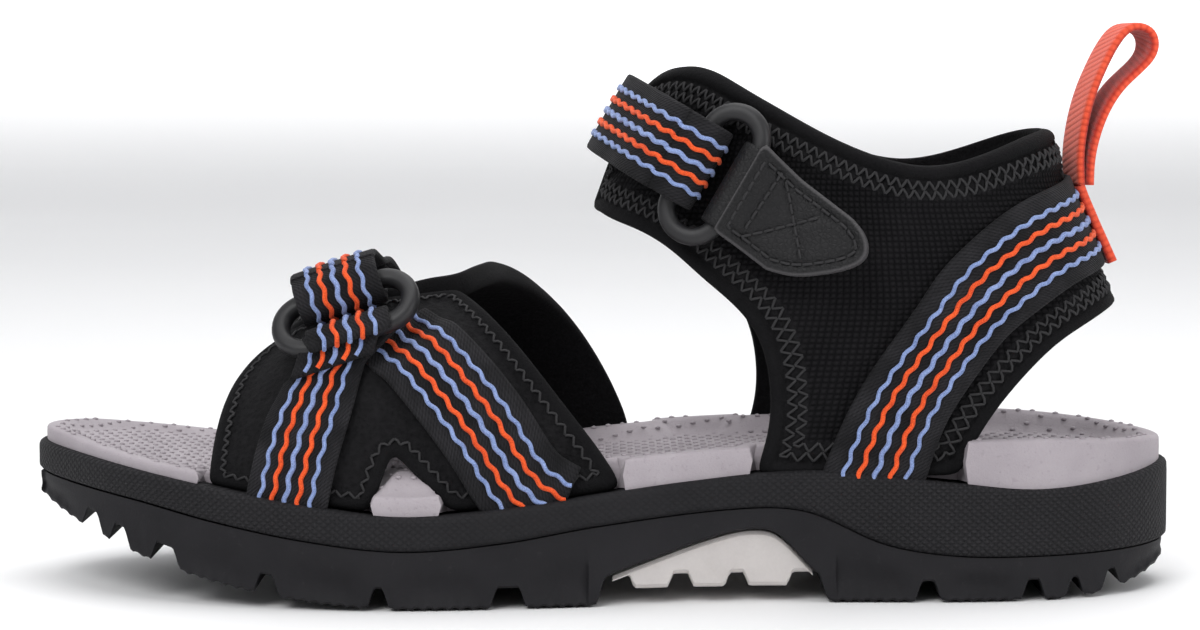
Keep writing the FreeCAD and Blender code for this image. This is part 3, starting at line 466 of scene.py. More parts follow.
class Graph:
    def __init__(self, tree):
        self.tree = tree

    def add(self, kind, settings=None, sockets=(), out=0):
        node = self.tree.nodes.new(kind)
        for name, value in (settings or {}).items():
            setattr(node, name, value)
        pairs = sockets.items() if isinstance(sockets, dict) else enumerate(sockets)
        for key, value in pairs:
            if isinstance(value, Term):
                self.tree.links.new(value.socket, node.inputs[key])
            elif value is not None:
                node.inputs[key].default_value = value
        return Term(self, node.outputs[out]) if len(node.outputs) else None

    def mix(self, factor, a, b):
        """A colour between a and b."""
        a, b = [x if isinstance(x, Term) else (*x, 1.0) for x in (a, b)]
        return self.add("ShaderNodeMix", {"data_type": "RGBA"}, {0: factor, 6: a, 7: b}, out=2)

    def uv(self):
        """The cloth's own coordinates in millimetres: (along, across)."""
        vector = self.add("ShaderNodeUVMap", {"uv_map": "cloth"})
        split = self.add("ShaderNodeSeparateXYZ", {}, [vector])
        along = split * 100.0
        across = Term(self, split.socket.node.outputs[1]) * 100.0
        return along, across

    def attribute(self, name):
        return self.add("ShaderNodeAttribute", {"attribute_name": name}, out=2)

    def place(self):
        return self.add("ShaderNodeTexCoord", out=3)

    def noise(self, size_mm, detail=2.0, rough=0.5):
        """Cloudy noise whose blobs are about size_mm across."""
        return self.add("ShaderNodeTexNoise", {"noise_dimensions": "3D"},
                        {"Vector": self.place(), "Scale": 1 / (size_mm * MM), "Detail": detail,
                         "Roughness": rough})

    def bump(self, height, depth_mm, strength=1.0):
        return self.add("ShaderNodeBump", {}, {"Strength": strength, "Distance": depth_mm * MM,
                                               "Height": height})


def new_material(name, paint, **constants):
    """paint(graph) returns (base colour, roughness, normal); constants are plain shader sockets."""
    material = bpy.data.materials.new(name)
    material.use_nodes = True
    tree = material.node_tree
    tree.nodes.clear()
    graph = Graph(tree)
    colour, rough, normal, *glow = paint(graph)
    sockets = {"Base Color": colour, "Roughness": rough, "Normal": normal}
    if glow:
        sockets["Emission Color"] = glow[0]
    shader = graph.add("ShaderNodeBsdfPrincipled", {}, sockets)
    for socket, value in constants.items():
        shader.socket.node.inputs[socket.replace("_", " ")].default_value = value
    graph.add("ShaderNodeOutputMaterial", {}, {"Surface": shader})
    return material


def dress(obj, *materials):
    obj.data.materials.clear()
    for material in materials:
        obj.data.materials.append(material)
    return obj


# %% [markdown]
# ## Threads, yarns and dots
# What repeats is grown by small node trees: a yarn that wanders from side to side, a row of short stitches,
# and raised dots. Each tree takes a plain source mesh and leaves a plain mesh behind.

# %% Growing trees
def new_tree(name, inputs):
    tree = bpy.data.node_groups.new(name, "GeometryNodeTree")
    tree.interface.new_socket("Geometry", in_out="INPUT", socket_type="NodeSocketGeometry")
    for label, kind, value in inputs:
        socket = tree.interface.new_socket(label, in_out="INPUT", socket_type=kind)
        if value is not None:
            socket.default_value = value
    tree.interface.new_socket("Geometry", in_out="OUTPUT", socket_type="NodeSocketGeometry")
    graph = Graph(tree)
    entry = tree.nodes.new("NodeGroupInput")
    return graph, {s.name: Term(graph, s) for s in entry.outputs if s.name}


def finish_tree(graph, geometry, material):
    solid = graph.add("GeometryNodeRealizeInstances", {}, {"Geometry": geometry})
    smooth = graph.add("GeometryNodeSetShadeSmooth", {}, {0: solid})
    dressed = graph.add("GeometryNodeSetMaterial", {}, {"Geometry": smooth, "Material": material})
    out = graph.tree.nodes.new("NodeGroupOutput")
    graph.tree.links.new(dressed.socket, out.inputs[0])
    return graph.tree


def yarn_tree():
    """A tube along each line, pushed from side to side as it runs."""
    graph, given = new_tree("wavy_yarn", [("Amplitude", "NodeSocketFloat", 0.00035),
                                          ("Period", "NodeSocketFloat", 0.0035),
                                          ("Radius", "NodeSocketFloat", 0.00055),
                                          ("Material", "NodeSocketMaterial", None)])
    run = graph.add("GeometryNodeInputNamedAttribute", {"data_type": "FLOAT"}, {"Name": "run"})
    side = graph.add("GeometryNodeInputNamedAttribute", {"data_type": "FLOAT_VECTOR"}, {"Name": "side"})
    sway = (run * 6.283185 / given["Period"]).sin() * given["Amplitude"]
    offset = graph.add("ShaderNodeVectorMath", {"operation": "SCALE"}, {0: side, "Scale": sway})
    moved = graph.add("GeometryNodeSetPosition", {}, {"Geometry": given["Geometry"], "Offset": offset})
    curve = graph.add("GeometryNodeMeshToCurve", {}, {"Mesh": moved})
    ring = graph.add("GeometryNodeCurvePrimitiveCircle", {}, {"Resolution": 8, "Radius": given["Radius"]})
    tube = graph.add("GeometryNodeCurveToMesh", {},
                     {"Curve": curve, "Profile Curve": ring, "Fill Caps": True})
    return finish_tree(graph, tube, given["Material"])


def stitch_tree():
    """A short thread along each short line."""
    graph, given = new_tree("stitches", [("Radius", "NodeSocketFloat", 0.0003),
                                         ("Material", "NodeSocketMaterial", None)])
    curve = graph.add("GeometryNodeMeshToCurve", {}, {"Mesh": given["Geometry"]})
    ring = graph.add("GeometryNodeCurvePrimitiveCircle", {}, {"Resolution": 6, "Radius": given["Radius"]})
    tube = graph.add("GeometryNodeCurveToMesh", {},
                     {"Curve": curve, "Profile Curve": ring, "Fill Caps": True})
    return finish_tree(graph, tube, given["Material"])


def dot_tree():
    """A low dome on each point, with a seeded change of size."""
    graph, given = new_tree("dots", [("Radius", "NodeSocketFloat", 0.0007), ("Seed", "NodeSocketInt", 3),
                                     ("Material", "NodeSocketMaterial", None)])
    dome = graph.add("GeometryNodeMeshIcoSphere", {}, {"Radius": given["Radius"], "Subdivisions": 1})
    flat = graph.add("GeometryNodeTransform", {}, {"Geometry": dome, "Scale": (1.0, 1.0, 0.6)})
    size = graph.add("FunctionNodeRandomValue", {"data_type": "FLOAT"},
                     {2: 0.85, 3: 1.1, "Seed": given["Seed"]}, out=1)
    points = graph.add("GeometryNodeMeshToPoints", {}, {"Mesh": given["Geometry"]})
    spread = graph.add("GeometryNodeInstanceOnPoints", {},
                       {"Points": points, "Instance": flat, "Scale": size})
    return finish_tree(graph, spread, given["Material"])


def grow(name, source, tree, **values):
    """The source mesh after its tree, as a plain mesh object."""
    modifier = source.modifiers.new("grow", "NODES")
    modifier.node_group = tree
    for item in tree.interface.items_tree:
        if item.in_out == "INPUT" and item.name in values:
            modifier[item.identifier] = values[item.name]
    depsgraph = bpy.context.evaluated_depsgraph_get()
    mesh = bpy.data.meshes.new_from_object(source.evaluated_get(depsgraph), preserve_all_data_layers=True,
                                           depsgraph=depsgraph)
    obj = bpy.data.objects.new(name, mesh)
    bpy.context.scene.collection.objects.link(obj)
    bpy.data.objects.remove(source)
    return obj


def line_mesh(name, lines, sides=None):
    """Open lines as an edge mesh; sides gives each point the way it may sway."""
    verts, edges, run, across = [], [], [], []
    for k, line in enumerate(lines):
        base = len(verts)
        verts.extend(np.asarray(line))
        edges.extend((base + i, base + i + 1) for i in range(len(line) - 1))
        run.extend(length_along(np.asarray(line)) * MM)
        across.extend(sides[k] if sides is not None else np.zeros_like(line))
    mesh = bpy.data.meshes.new(name)
    mesh.from_pydata((np.array(verts) * MM + SHIFT).tolist(), edges, [])
    mesh.attributes.new("run", "FLOAT", "POINT").data.foreach_set("value", np.array(run, np.float32))
    mesh.attributes.new("side", "FLOAT_VECTOR", "POINT").data.foreach_set(
        "vector", np.array(across, np.float32).ravel())
    obj = bpy.data.objects.new(name, mesh)
    bpy.context.scene.collection.objects.link(obj)
    return obj


YARN, STITCH, DOTS = yarn_tree(), stitch_tree(), dot_tree()
print("trees:", [t.name for t in (YARN, STITCH, DOTS)])


# %% [markdown]
# ## Cloth, rubber, foam and plastic
# The weaves come from sine waves on each piece's own cloth map. Noise breaks them up, so no strand is the
# same shade or height. Foam and rubber get a fine skin and cloudy colour, and the tread rubber paler scuffed
# patches.

# %% Materials
def weave(graph, pitch_along, pitch_across):
    """Plain weave height: rows and columns of rounded crossings, 0 to 1."""
    u, v = graph.uv()
    rows = (u * (math.pi / pitch_along)).sin()
    columns = (v * (math.pi / pitch_across)).sin()
    return (rows * columns).abs()


def paint_webbing(graph):
    u, v = graph.uv()
    rib = ((u + v) * (math.pi / 0.75)).sin().abs()
    cross = (v * (math.pi / 0.62)).sin().abs()
    fuzz = graph.noise(0.35, 3.0, 0.7)
    shade = graph.noise(6.0, 2.0)
    height = rib * 0.6 + cross * 0.4 + fuzz * 0.35
    colour = graph.mix((height * 0.75 * shade.band(0.2, 0.8) + fuzz * 0.2).clamp(), (0.004, 0.004, 0.0045),
                       (0.026, 0.025, 0.028))
    return colour, 0.72 + fuzz * 0.2, graph.bump(height, 0.22, 0.9)


def paint_yarn(deep, bright):
    def paint(graph):
        strand = graph.noise(0.22, 3.0, 0.65)
        patch = graph.noise(2.6, 2.0)
        colour = graph.mix((strand * 0.85 + patch * 0.35).band(0.3, 0.85), deep, bright)
        return colour, 0.6 + strand * 0.25, graph.bump(strand, 0.18, 0.8)
    return paint


def paint_upper(graph, field_from=5.8):
    """Rolled edging near the rim, curly cloth behind it, and open mesh from field_from inwards."""
    edge = graph.attribute("edge")
    knit = weave(graph, 1.15, 0.95)
    fuzz = graph.noise(0.5, 4.0, 0.75)
    clouds = graph.noise(9.0, 3.0)
    curls = graph.add("ShaderNodeTexVoronoi", {"feature": "SMOOTH_F1"},
                      {"Vector": graph.place(), "Scale": 1 / (0.9 * MM)})
    rolled = curls * 0.9 * edge.band(1.6, 2.6) + fuzz
    field = edge.band(field_from - 0.4, field_from + 0.4)
    height = graph.add("ShaderNodeMix", {"data_type": "FLOAT"},
                       {0: field, 2: rolled, 3: knit * 0.8 + fuzz * 0.4})
    dark = graph.mix(field, (0.004, 0.004, 0.0045), (0.0025, 0.0025, 0.003))
    pale = graph.mix(field, (0.0165, 0.016, 0.0172), (0.0165, 0.0156, 0.0172))
    colour = graph.mix((height * 0.7 + clouds * 0.5 - 0.35).clamp(), dark, pale)
    outside = graph.attribute("outside")
    lining = graph.mix(fuzz.band(0.3, 0.75), (0.0016, 0.0016, 0.0019), (0.0085, 0.0082, 0.009))
    colour = graph.mix(outside, lining, colour)
    return colour, 0.78 + fuzz * 0.15, graph.bump(height, 0.45, 0.9)


def paint_foam_wall(graph):
    """Moulded foam: fine crossed lines, deepest towards toe and heel, over a soft pebble skin."""
    u, v = graph.uv()
    one = ((u + v * 1.3) * (math.pi / 1.5)).sin().abs()
    two = ((u - v * 1.3) * (math.pi / 1.5)).sin().abs()
    ends = graph.attribute("ends")
    skin = graph.noise(0.6, 4.0, 0.7)
    clouds = graph.noise(14.0, 3.0)
    height = one * two * ends * 1.0 + skin * 0.35
    colour = graph.mix((height * 0.5 + clouds * 0.55 - 0.12).clamp(), (0.0055, 0.0055, 0.0065),
                       (0.024, 0.0228, 0.0255))
    return colour, 0.66 + skin * 0.2, graph.bump(height, 0.4, 0.9)


def paint_rubber(graph):
    skin = graph.noise(0.45, 4.0, 0.7)
    clouds = graph.noise(11.0, 3.0)
    scuff = graph.noise(2.2, 5.0, 0.8).band(0.58, 0.78)
    colour = graph.mix((clouds * 0.6 + skin * 0.3 - 0.1).clamp(), (0.0072, 0.0070, 0.0084),
                       (0.0205, 0.0195, 0.0222))
    colour = graph.mix(scuff * 0.3, colour, (0.055, 0.052, 0.056))
    return colour, 0.55 + skin * 0.25, graph.bump(skin, 0.12, 0.6)


def paint_shank(graph):
    skin = graph.noise(0.5, 4.0, 0.7)
    clouds = graph.noise(8.0, 3.0)
    colour = graph.mix((clouds * 0.7 + skin * 0.3 - 0.1).clamp(), (0.42, 0.39, 0.38), (0.66, 0.63, 0.61))
    return colour, 0.5 + skin * 0.2, graph.bump(skin, 0.1, 0.5)


def paint_footbed(graph):
    skin = graph.noise(0.4, 4.0, 0.7)
    clouds = graph.noise(12.0, 3.0)
    spots = graph.noise(0.9, 2.0).band(0.62, 0.7)
    colour = graph.mix((clouds * 0.8 + skin * 0.3 - 0.15).clamp(), (0.275, 0.245, 0.266), (0.47, 0.43, 0.455))
    colour = graph.mix(spots * 0.25, colour, (0.21, 0.185, 0.20))
    return colour, 0.62 + skin * 0.2, graph.bump(skin, 0.14, 0.7)


def paint_plastic(graph):
    skin = graph.noise(0.3, 3.0, 0.7)
    clouds = graph.noise(5.0, 2.0)
    colour = graph.mix((clouds * 0.6 + skin * 0.3).clamp(), (0.006, 0.006, 0.007), (0.018, 0.0175, 0.019))
    return colour, 0.38 + skin * 0.2, graph.bump(skin, 0.05, 0.5)


def paint_leather(graph):
    grain = graph.add("ShaderNodeTexVoronoi", {"feature": "DISTANCE_TO_EDGE"},
                      {"Vector": graph.place(), "Scale": 1 / (0.8 * MM)})
    clouds = graph.noise(7.0, 3.0)
    fine = graph.noise(0.3, 3.0)
    cut = 1 - graph.attribute("edge").band(0.25, 0.7)
    height = grain.band(0.0, 0.25) * 0.8 + fine * 0.3
    colour = graph.mix((height * 0.4 + clouds * 0.6 - 0.15).clamp(), (0.0035, 0.0035, 0.004),
                       (0.0125, 0.012, 0.0132))
    colour = graph.mix(cut * 0.5, colour, (0.10, 0.096, 0.10))
    return colour, 0.46 + fine * 0.2, graph.bump(height, 0.12, 0.6)


def paint_red(graph):
    """Ribbed webbing: cross ribs on the outer face, and a duller inner face painted a darker red as shade."""
    u, v = graph.uv()
    ribs = ((u + v * 0.25) * (math.pi / 1.15)).sin().abs()
    fuzz = graph.noise(0.3, 4.0, 0.75)
    clouds = graph.noise(5.0, 2.0)
    outer = graph.mix((ribs * 0.6 + fuzz * 0.5 - 0.05).clamp(), (0.60, 0.048, 0.018), (0.86, 0.105, 0.045))
    # painted shade: the inner face of the loop gets a darker red than the outer face, standing in for the
    # shade inside the loop; its plainer ribs are the tape's own weave
    inner = graph.mix((ribs * 0.4 + fuzz * 0.4).clamp(), (0.34, 0.014, 0.008), (0.60, 0.040, 0.020))
    colour = graph.mix(graph.attribute("outside"), inner, outer)
    colour = graph.mix(clouds.band(0.3, 0.9) * 0.2, colour, (0.9, 0.16, 0.08))
    return colour, 0.7 + fuzz * 0.2, graph.bump(ribs * 0.6 + fuzz * 0.5, 0.25, 0.9)


def paint_thread(graph):
    strand = graph.noise(0.2, 3.0)
    colour = graph.mix(strand, (0.006, 0.006, 0.0065), (0.026, 0.025, 0.027))
    return colour, 0.6 + strand * 0.2, graph.bump(strand, 0.08, 0.6)


def paint_hook(graph):
    pile = graph.noise(0.28, 4.0, 0.85)
    rows = weave(graph, 0.9, 0.9)
    colour = graph.mix((pile * 0.7 + rows * 0.3).clamp(), (0.004, 0.004, 0.005), (0.04, 0.038, 0.042))
    return colour, 0.85 + pile * 0.1, graph.bump(pile + rows * 0.5, 0.4, 1.0)


webbing_cloth = new_material("black_webbing", paint_webbing, Sheen_Weight=0.02, Specular_IOR_Level=0.15)
blue_yarn = new_material("blue_yarn", paint_yarn((0.085, 0.13, 0.30), (0.30, 0.40, 0.70)), Sheen_Weight=0.2,
                         Specular_IOR_Level=0.25)
orange_yarn = new_material("orange_yarn", paint_yarn((0.50, 0.035, 0.006), (0.98, 0.125, 0.02)),
                           Sheen_Weight=0.1, Specular_IOR_Level=0.25)
upper_cloth = new_material("mesh_and_edging", paint_upper, Sheen_Weight=0.01, Specular_IOR_Level=0.09)
curly_cloth = new_material("curly_cloth_and_edging", lambda graph: paint_upper(graph, 90.0),
                           Sheen_Weight=0.01, Specular_IOR_Level=0.09)
foam_wall = new_material("moulded_foam", paint_foam_wall, Specular_IOR_Level=0.22)
tread_rubber = new_material("tread_rubber", paint_rubber, Specular_IOR_Level=0.2)
shank_rubber = new_material("pale_rubber", paint_shank, Specular_IOR_Level=0.35)
footbed_foam = new_material("footbed_foam", paint_footbed, Specular_IOR_Level=0.3)
ring_plastic = new_material("ring_plastic", paint_plastic, Specular_IOR_Level=0.42)
tab_leather = new_material("coated_leather", paint_leather, Specular_IOR_Level=0.26)
red_webbing = new_material("red_webbing", paint_red, Sheen_Weight=0.25, Specular_IOR_Level=0.2)
thread = new_material("black_thread", paint_thread, Specular_IOR_Level=0.4)
hook_tape = new_material("hook_and_loop", paint_hook, Specular_IOR_Level=0.15)
print("materials:", len(bpy.data.materials))


# %% [markdown]
# ## The sole
# A sandal sole is moulded: one foot outline, with side profiles that give the wall its top, its parting line
# and its tread. Each part is lofted from heel to toe, and the tread's stations are packed close at the toe and
# the heel.

# %% Sole profiles
L, BALL_L, BALL_M, HEEL_L, HEEL_M = 100.0, 41.0, 38.5, 31.0, 29.5
OUTLINE = [
    (-1.0 * L, 5), (-0.95 * L, 0.52 * BALL_M), (-0.82 * L, 0.81 * BALL_M), (-0.60 * L, 0.965 * BALL_M),
    (-0.38 * L, BALL_M), (-0.12 * L, 0.90 * BALL_M), (0.15 * L, HEEL_M), (0.40 * L, 0.95 * HEEL_M),
    (0.65 * L, HEEL_M), (0.85 * L, 0.83 * HEEL_M), (0.96 * L, 0.44 * HEEL_M), (1.0 * L, 0),
    (0.96 * L, -0.45 * HEEL_L), (0.85 * L, -0.80 * HEEL_L), (0.65 * L, -HEEL_L), (0.40 * L, -1.01 * HEEL_L),
    (0.15 * L, -0.82 * BALL_L), (-0.12 * L, -0.94 * BALL_L), (-0.38 * L, -BALL_L),
    (-0.60 * L, -0.89 * BALL_L), (-0.80 * L, -0.62 * BALL_L), (-0.94 * L, -0.23 * BALL_L),
]
midsole_top = Profile([(-106, 24.9), (-88, 23.2), (-66, 20.0), (-50, 17.6), (-33, 15.7), (-15, 17.0),
                       (15, 20.8), (37, 22.4), (60, 20.2), (74, 18.9), (88, 20.0), (106, 22.8)])
split_line = Profile([(-106, 19.4), (-80, 16.8), (-65, 14.0), (-50, 11.5), (-33, 9.8), (-16, 11.0), (0, 13.5),
                      (24, 16.0), (35, 15.3), (48, 9.8), (60, 7.8), (75, 7.5), (106, 8.0)])
rim_top = Profile([(-106, 27.6), (-94, 26.4), (-85, 24.9), (-67, 22.3), (-38, 19.3), (-27, 19.4), (0, 24.2),
                   (25, 26.4), (50, 26.9), (72, 27.4), (88, 26.6), (106, 25.2)])
foot_surface = Profile([(-106, 26.2), (-94, 25.1), (-85, 23.9), (-66, 21.4), (-38, 18.2), (-20, 19.4),
                        (0, 21.6), (25, 23.3), (50, 23.5), (80, 23.5), (106, 24.2)])
LUG_DEPTH, LUG_RAMP = 3.6, 1.7
LUG_GAPS = [(-87.5, 0.8), (-82.0, 0.7), (-73.5, 1.4), (-55.6, 0.9), (-36.8, 0.5), (-15.3, 1.8), (55.4, 0.9),
            (73.4, 0.8), (80.7, 0.3), (87.4, 0.4)]
sole_line = smooth_curve(OUTLINE, 0.8, closed=True)
sole_inward = inward_normals(sole_line)


def inset_line(inset):
    return sole_line + sole_inward * inset


def tread_height(x):
    return np.where(x < -30, (-30 - x) ** 2 / 320, 0) + np.where(x > 78, (x - 78) ** 2 / 90, 0)


def sides_at(x, inset):
    """The sole's outer and inner y at x."""
    line = inset_line(inset)
    upper, lower = line[line[:, 1] > 2], line[line[:, 1] <= 2]
    upper, lower = upper[np.argsort(upper[:, 0])], lower[np.argsort(lower[:, 0])]
    return np.interp(x, lower[:, 0], lower[:, 1]), np.interp(x, upper[:, 0], upper[:, 1])


# %% [markdown]
# ## The midsole
# The black foam layer is what the side of the sandal mostly shows. Its wall is a stack of outlines, each the
# sole's line moved in a little, and it swells between its rounded lower and upper edges. Its top and bottom
# follow the foot, so they are filled with a net of points that do the same instead of one flat face.

# %% Midsole
def close_over(verts, faces, first, ring, height):
    """Close a ring whose points start at index first with a surface that follows height(x)."""
    p, triangles, _ = fill(ring[:, :2], 5.0, ())
    away = np.linalg.norm(p[:, None] - ring[None, :, :2], axis=2)
    edge = away.min(1) < 1e-3
    index = np.where(edge, first + away.argmin(1), len(verts) + np.cumsum(~edge) - 1)
    inner = p[~edge]
    verts = np.vstack([verts, np.column_stack([inner, height(inner[:, 0])])])
    return verts, faces + [tuple(int(index[i]) for i in t) for t in triangles]


def build_midsole():
    x = sole_line[:, 0]
    low, high = split_line(x), midsole_top(x)
    levels = [(0.0, 9.0, 0.05), (0.0, 1.6, 0.0), (0.25, 0.9, 0.0), (0.55, 0.35, 0.0)]
    levels += [(0.9, 0.05, 0.0)] + [(None, k / 9, 0.0) for k in range(1, 9)]
    levels += [(-0.9, 0.05, 1.0), (-0.45, 0.25, 1.0), (-0.12, 0.7, 1.0), (0.0, 1.4, 1.0), (-0.4, 7.8, 1.0),
               (-1.6, 9.0, 1.0)]
    rings, uv, ends = [], [], []
    run = length_along(sole_line)
    for rise, k, top in levels:
        if rise is None:
            bulge = 0.05 - 0.3 * math.sin(math.pi * k)
            z, inset = low + 0.9 + (high - low - 1.8) * k, max(bulge, 0.0)
        else:
            z, inset = (high if top else low) + rise, k
        line = inset_line(inset)
        rings.append(np.column_stack([line, z]))
        uv.append(np.column_stack([run, z]))
        ends.append(np.clip(np.abs(x + 5) / 60, 0.25, 1.0))
    verts, faces = sheet_between(rings)
    verts, faces = close_over(verts, faces, 0, rings[0], split_line)
    last = (len(rings) - 1) * len(x)
    verts, faces = close_over(verts, faces, last, rings[-1], lambda at: midsole_top(at) - 1.6)
    more = verts[len(rings) * len(x):]
    uv = np.vstack([*uv, more[:, [0, 2]]])
    ends = np.concatenate([*ends, np.clip(np.abs(more[:, 0] + 5) / 60, 0.25, 1.0)])
    return make_piece("midsole_foam", verts, faces, uv, ends=ends)


# %% [markdown]
# ## The outsole
# The tread is moulded rubber with gaps between its lugs. Cutting each gap with a Boolean would leave hard,
# even edges, so the underside is lofted from cross sections along the sole, and functions of x say how deep
# each section is cut. Channels along the middle, and a fine serration under the lugs, come the same way.

# %% Outsole
def lug_notch(x):
    """How deep the tread is cut away at x by the gaps between lugs."""
    depth = np.zeros_like(x)
    for middle, half in LUG_GAPS:
        depth = np.maximum(depth, LUG_DEPTH * (1 - ease((np.abs(x - middle) - half * 0.9) / LUG_RAMP)))
    return depth


def arch_gap(x):
    """The underside of the arch, over the pale plate."""
    inside = ease((x + 1.0) / 2.0) * ease((39.0 - x) / 2.2)
    top = Profile([(-4, 2.0), (1.5, 5.2), (10, 8.3), (20, 11.6), (26, 12.6), (30, 11.6), (36.5, 5.2),
                   (42, 2.0)])
    return inside * top(x)


def build_outsole():
    ends = 100 - 0.8 - (1 - np.cos(np.linspace(0, math.pi / 2, 16))) * 6
    x = np.unique(np.round(np.concatenate([np.arange(-93, 93.2, 0.42), ends, -ends]), 3))
    t = np.sin(np.linspace(-1, 1, 45) * math.pi / 2 * 0.93) / math.sin(math.pi / 2 * 0.93)
    outer, inner = sides_at(x, 0.8)
    rings = []
    channel = {(-84, -58): (4, 8), (-58, -37): (-3, 2), (-37, -15): (-2, 3), (-15, 0): (-5, 0),
               (38, 56): (-4, 1), (56, 76): (-2, 3)}
    for xi, ya, yb in zip(x, outer, inner):
        y = ya + (yb - ya) * (t + 1) / 2
        ground = tread_height(np.array(xi))
        cut = np.full_like(y, max(float(lug_notch(np.array([xi]))[0]), float(arch_gap(np.array([xi]))[0])))
        for (xa, xb), (y0, y1) in channel.items():
            if xa <= xi <= xb:
                cut = np.maximum(cut, 3.2 * ease((y - y0 + 1.0) / 1.2) * ease((y1 + 1.0 - y) / 1.2))
        serration = 0.4 * abs(math.sin(math.pi * xi / 2.1)) if cut.min() < 0.2 else 0.0
        top = float(split_line(xi)) + 0.02
        low = np.minimum(ground + cut + np.where(cut < 0.3, serration, 0), top - 0.8)
        low[[0, -1]] += 0.5
        low[[1, -2]] += 0.12
        wall = np.linspace(0, 1, 9)
        nearest = min(abs(xi - middle) - half for middle, half in LUG_GAPS)
        hollow = 0.9 * float(ease((nearest - 1.6) / 4.5)) * (0 if -2 < xi < 40 else 1)
        inward = lambda s: (0.05 + 0.35 * s * (1 - s)
                            + hollow * float(ease((0.75 - s) / 0.45) * ease(s / 0.22)))
        right = [(xi, yb - inward(s), low[-1] + (top - low[-1]) * s) for s in wall[1:]]
        left = [(xi, ya + inward(s), low[0] + (top - low[0]) * s) for s in wall[1:][::-1]]
        rings.append([(xi, a, b) for a, b in zip(y, low)] + right
                     + [(xi, yb - (yb - ya) * s, top) for s in (0.25, 0.5, 0.75)] + left)
    return loft("outsole_rubber", rings, (True, True))


# %% [markdown]
# ## The pale arch plate
# A lighter rubber plate fills the arch, with small lugs of its own at both sides. It is lofted across the
# sole from side to side, so its curved top and its lugs are one profile that only fades under the middle.

# %% Pale arch plate
def build_shank():
    xs = np.linspace(2.1, 35.9, 70)
    top = Profile([(1.5, 5.0), (10, 8.1), (20, 11.4), (26, 12.4), (30, 11.4), (36.5, 5.0)])
    outer, inner = sides_at(xs, 2.0)
    rings = []
    for t in np.concatenate([[0, 0.008, 0.03], np.linspace(0.07, 0.93, 15), [0.97, 0.992, 1]]):
        shrink = 0.9 * (1 - round_edge(min(t, 1 - t), 0.03))
        lug = np.zeros_like(xs)
        for middle, half in ((8.6, 3.9), (18.4, 3.7), (28.4, 4.3)):
            lug = np.maximum(lug, 2.3 * ease((half - np.abs(xs - middle)) / 1.2))
        lug *= ease((abs(t - 0.5) - 0.22) / 0.08)
        facet = 0.35 * np.abs(((xs - 2) / 6.0) % 2 - 1) * (min(t, 1 - t) < 0.06)
        y = outer + (inner - outer) * t + facet * (1 if t < 0.5 else -1)
        high = top(xs) - shrink
        low = np.minimum(4.9 - lug + shrink, high - 0.2)
        rings.append(np.vstack([np.column_stack([xs, y, low]), np.column_stack([xs, y, high])[::-1]]))
    return loft("shank_rubber", rings, (True, True))


def smooth_by_angle(obj, degrees=35):
    """Smooth shading, but sharp edges stay sharp."""
    bm = bmesh.new()
    bm.from_mesh(obj.data)
    for edge in bm.edges:
        edge.smooth = len(edge.link_faces) == 2 and edge.calc_face_angle(0) < math.radians(degrees)
    bm.to_mesh(obj.data)
    bm.free()
    return obj


midsole = dress(fix_normals(build_midsole()), foam_wall)
outsole = dress(smooth_by_angle(fix_normals(build_outsole())), tread_rubber)
shank = dress(smooth_by_angle(fix_normals(build_shank())), shank_rubber)
settle(midsole, "sandal", "midsole", "midsole", "lasting_board")
settle(outsole, "sandal", "outsole", "outsole")
settle(shank, "sandal", "shank", "shank_plate")
print("sole faces:", [len(o.data.polygons) for o in (midsole, outsole, shank)])


# %% [markdown]
# ## The footbed
# A soft foam cup sits on the sole. Its rim rises round the heel and is cut back wherever a strap goes down
# between it and the sole's edge. A mould line runs round the wall, and rows of low dots grip the foot.

# %% Footbed
def footbed_outline():
    line = evenly(np.vstack([inset_line(1.4), inset_line(1.4)[:1]]), 0.45, closed=True)
    x, y = line.T
    gaps = [("arch", -67.0, -38.4, -1), ("arch", -26.0, 3.4, -1), ("arch", -64.0, 9.0, 1),
            ("ankle", 26.0, 61.2, -1), ("ankle", 26.0, 61.2, 1)]
    for kind, low, high, side in gaps:
        here = (x > low) & (x < high) & (np.sign(y) == side)
        if kind == "arch":
            limit = ARCH_CENTRE(x) + side * (ARCH_HALF(x) - 0.4)
        else:
            mid, long_half, centre, half = ankle_size(np.full_like(x, 24.0), -0.4)
            room = np.clip(1 - np.abs((x - mid) / long_half) ** ANKLE_POWER, 0, 1) ** 0.4
            limit = centre + side * half * room
        y[here] = side * np.minimum(side * y[here], side * limit[here])
    return np.column_stack([x, y])


def footbed_top(x, y, d):
    rim, bed = rim_top(x), foot_surface(x)
    cup = rim + (np.minimum(bed, rim - 0.4) - rim) * ease((d - 2.6) / 3.6)
    body = rim - midsole_top(x)
    window = ease((x + 39.0) / 2.0) * ease((-26.0 - x) / 2.0) * (y < -18)
    cup = cup + 4.6 * window * ease((d - 0.6) / 5.0) * ease((13.0 - d) / 5.0)
    return cup - 0.5 * body * (d == 0) - 0.55 * (1 - round_edge(d - 0.04, 0.9)) * (d > 0)


def footbed_low(x, _, d):
    rim, base = rim_top(x), midsole_top(x) + 0.06
    return np.where(d == 0, rim - 0.5 * (rim - midsole_top(x)), base)


def flat_place(u, v, z):
    return np.stack([u, v, z + 0 * u], -1)


footbed = panel("footbed_foam_cup", footbed_outline(), flat_place, footbed_top, footbed_low, step=2.0,
                rings=(0.04, 0.22, 0.5, 0.95, 1.8, 2.7, 3.6, 4.6, 5.6))
dress(smooth_by_angle(footbed, 50), footbed_foam)
settle(footbed, "sandal", "footbed", "footbed")


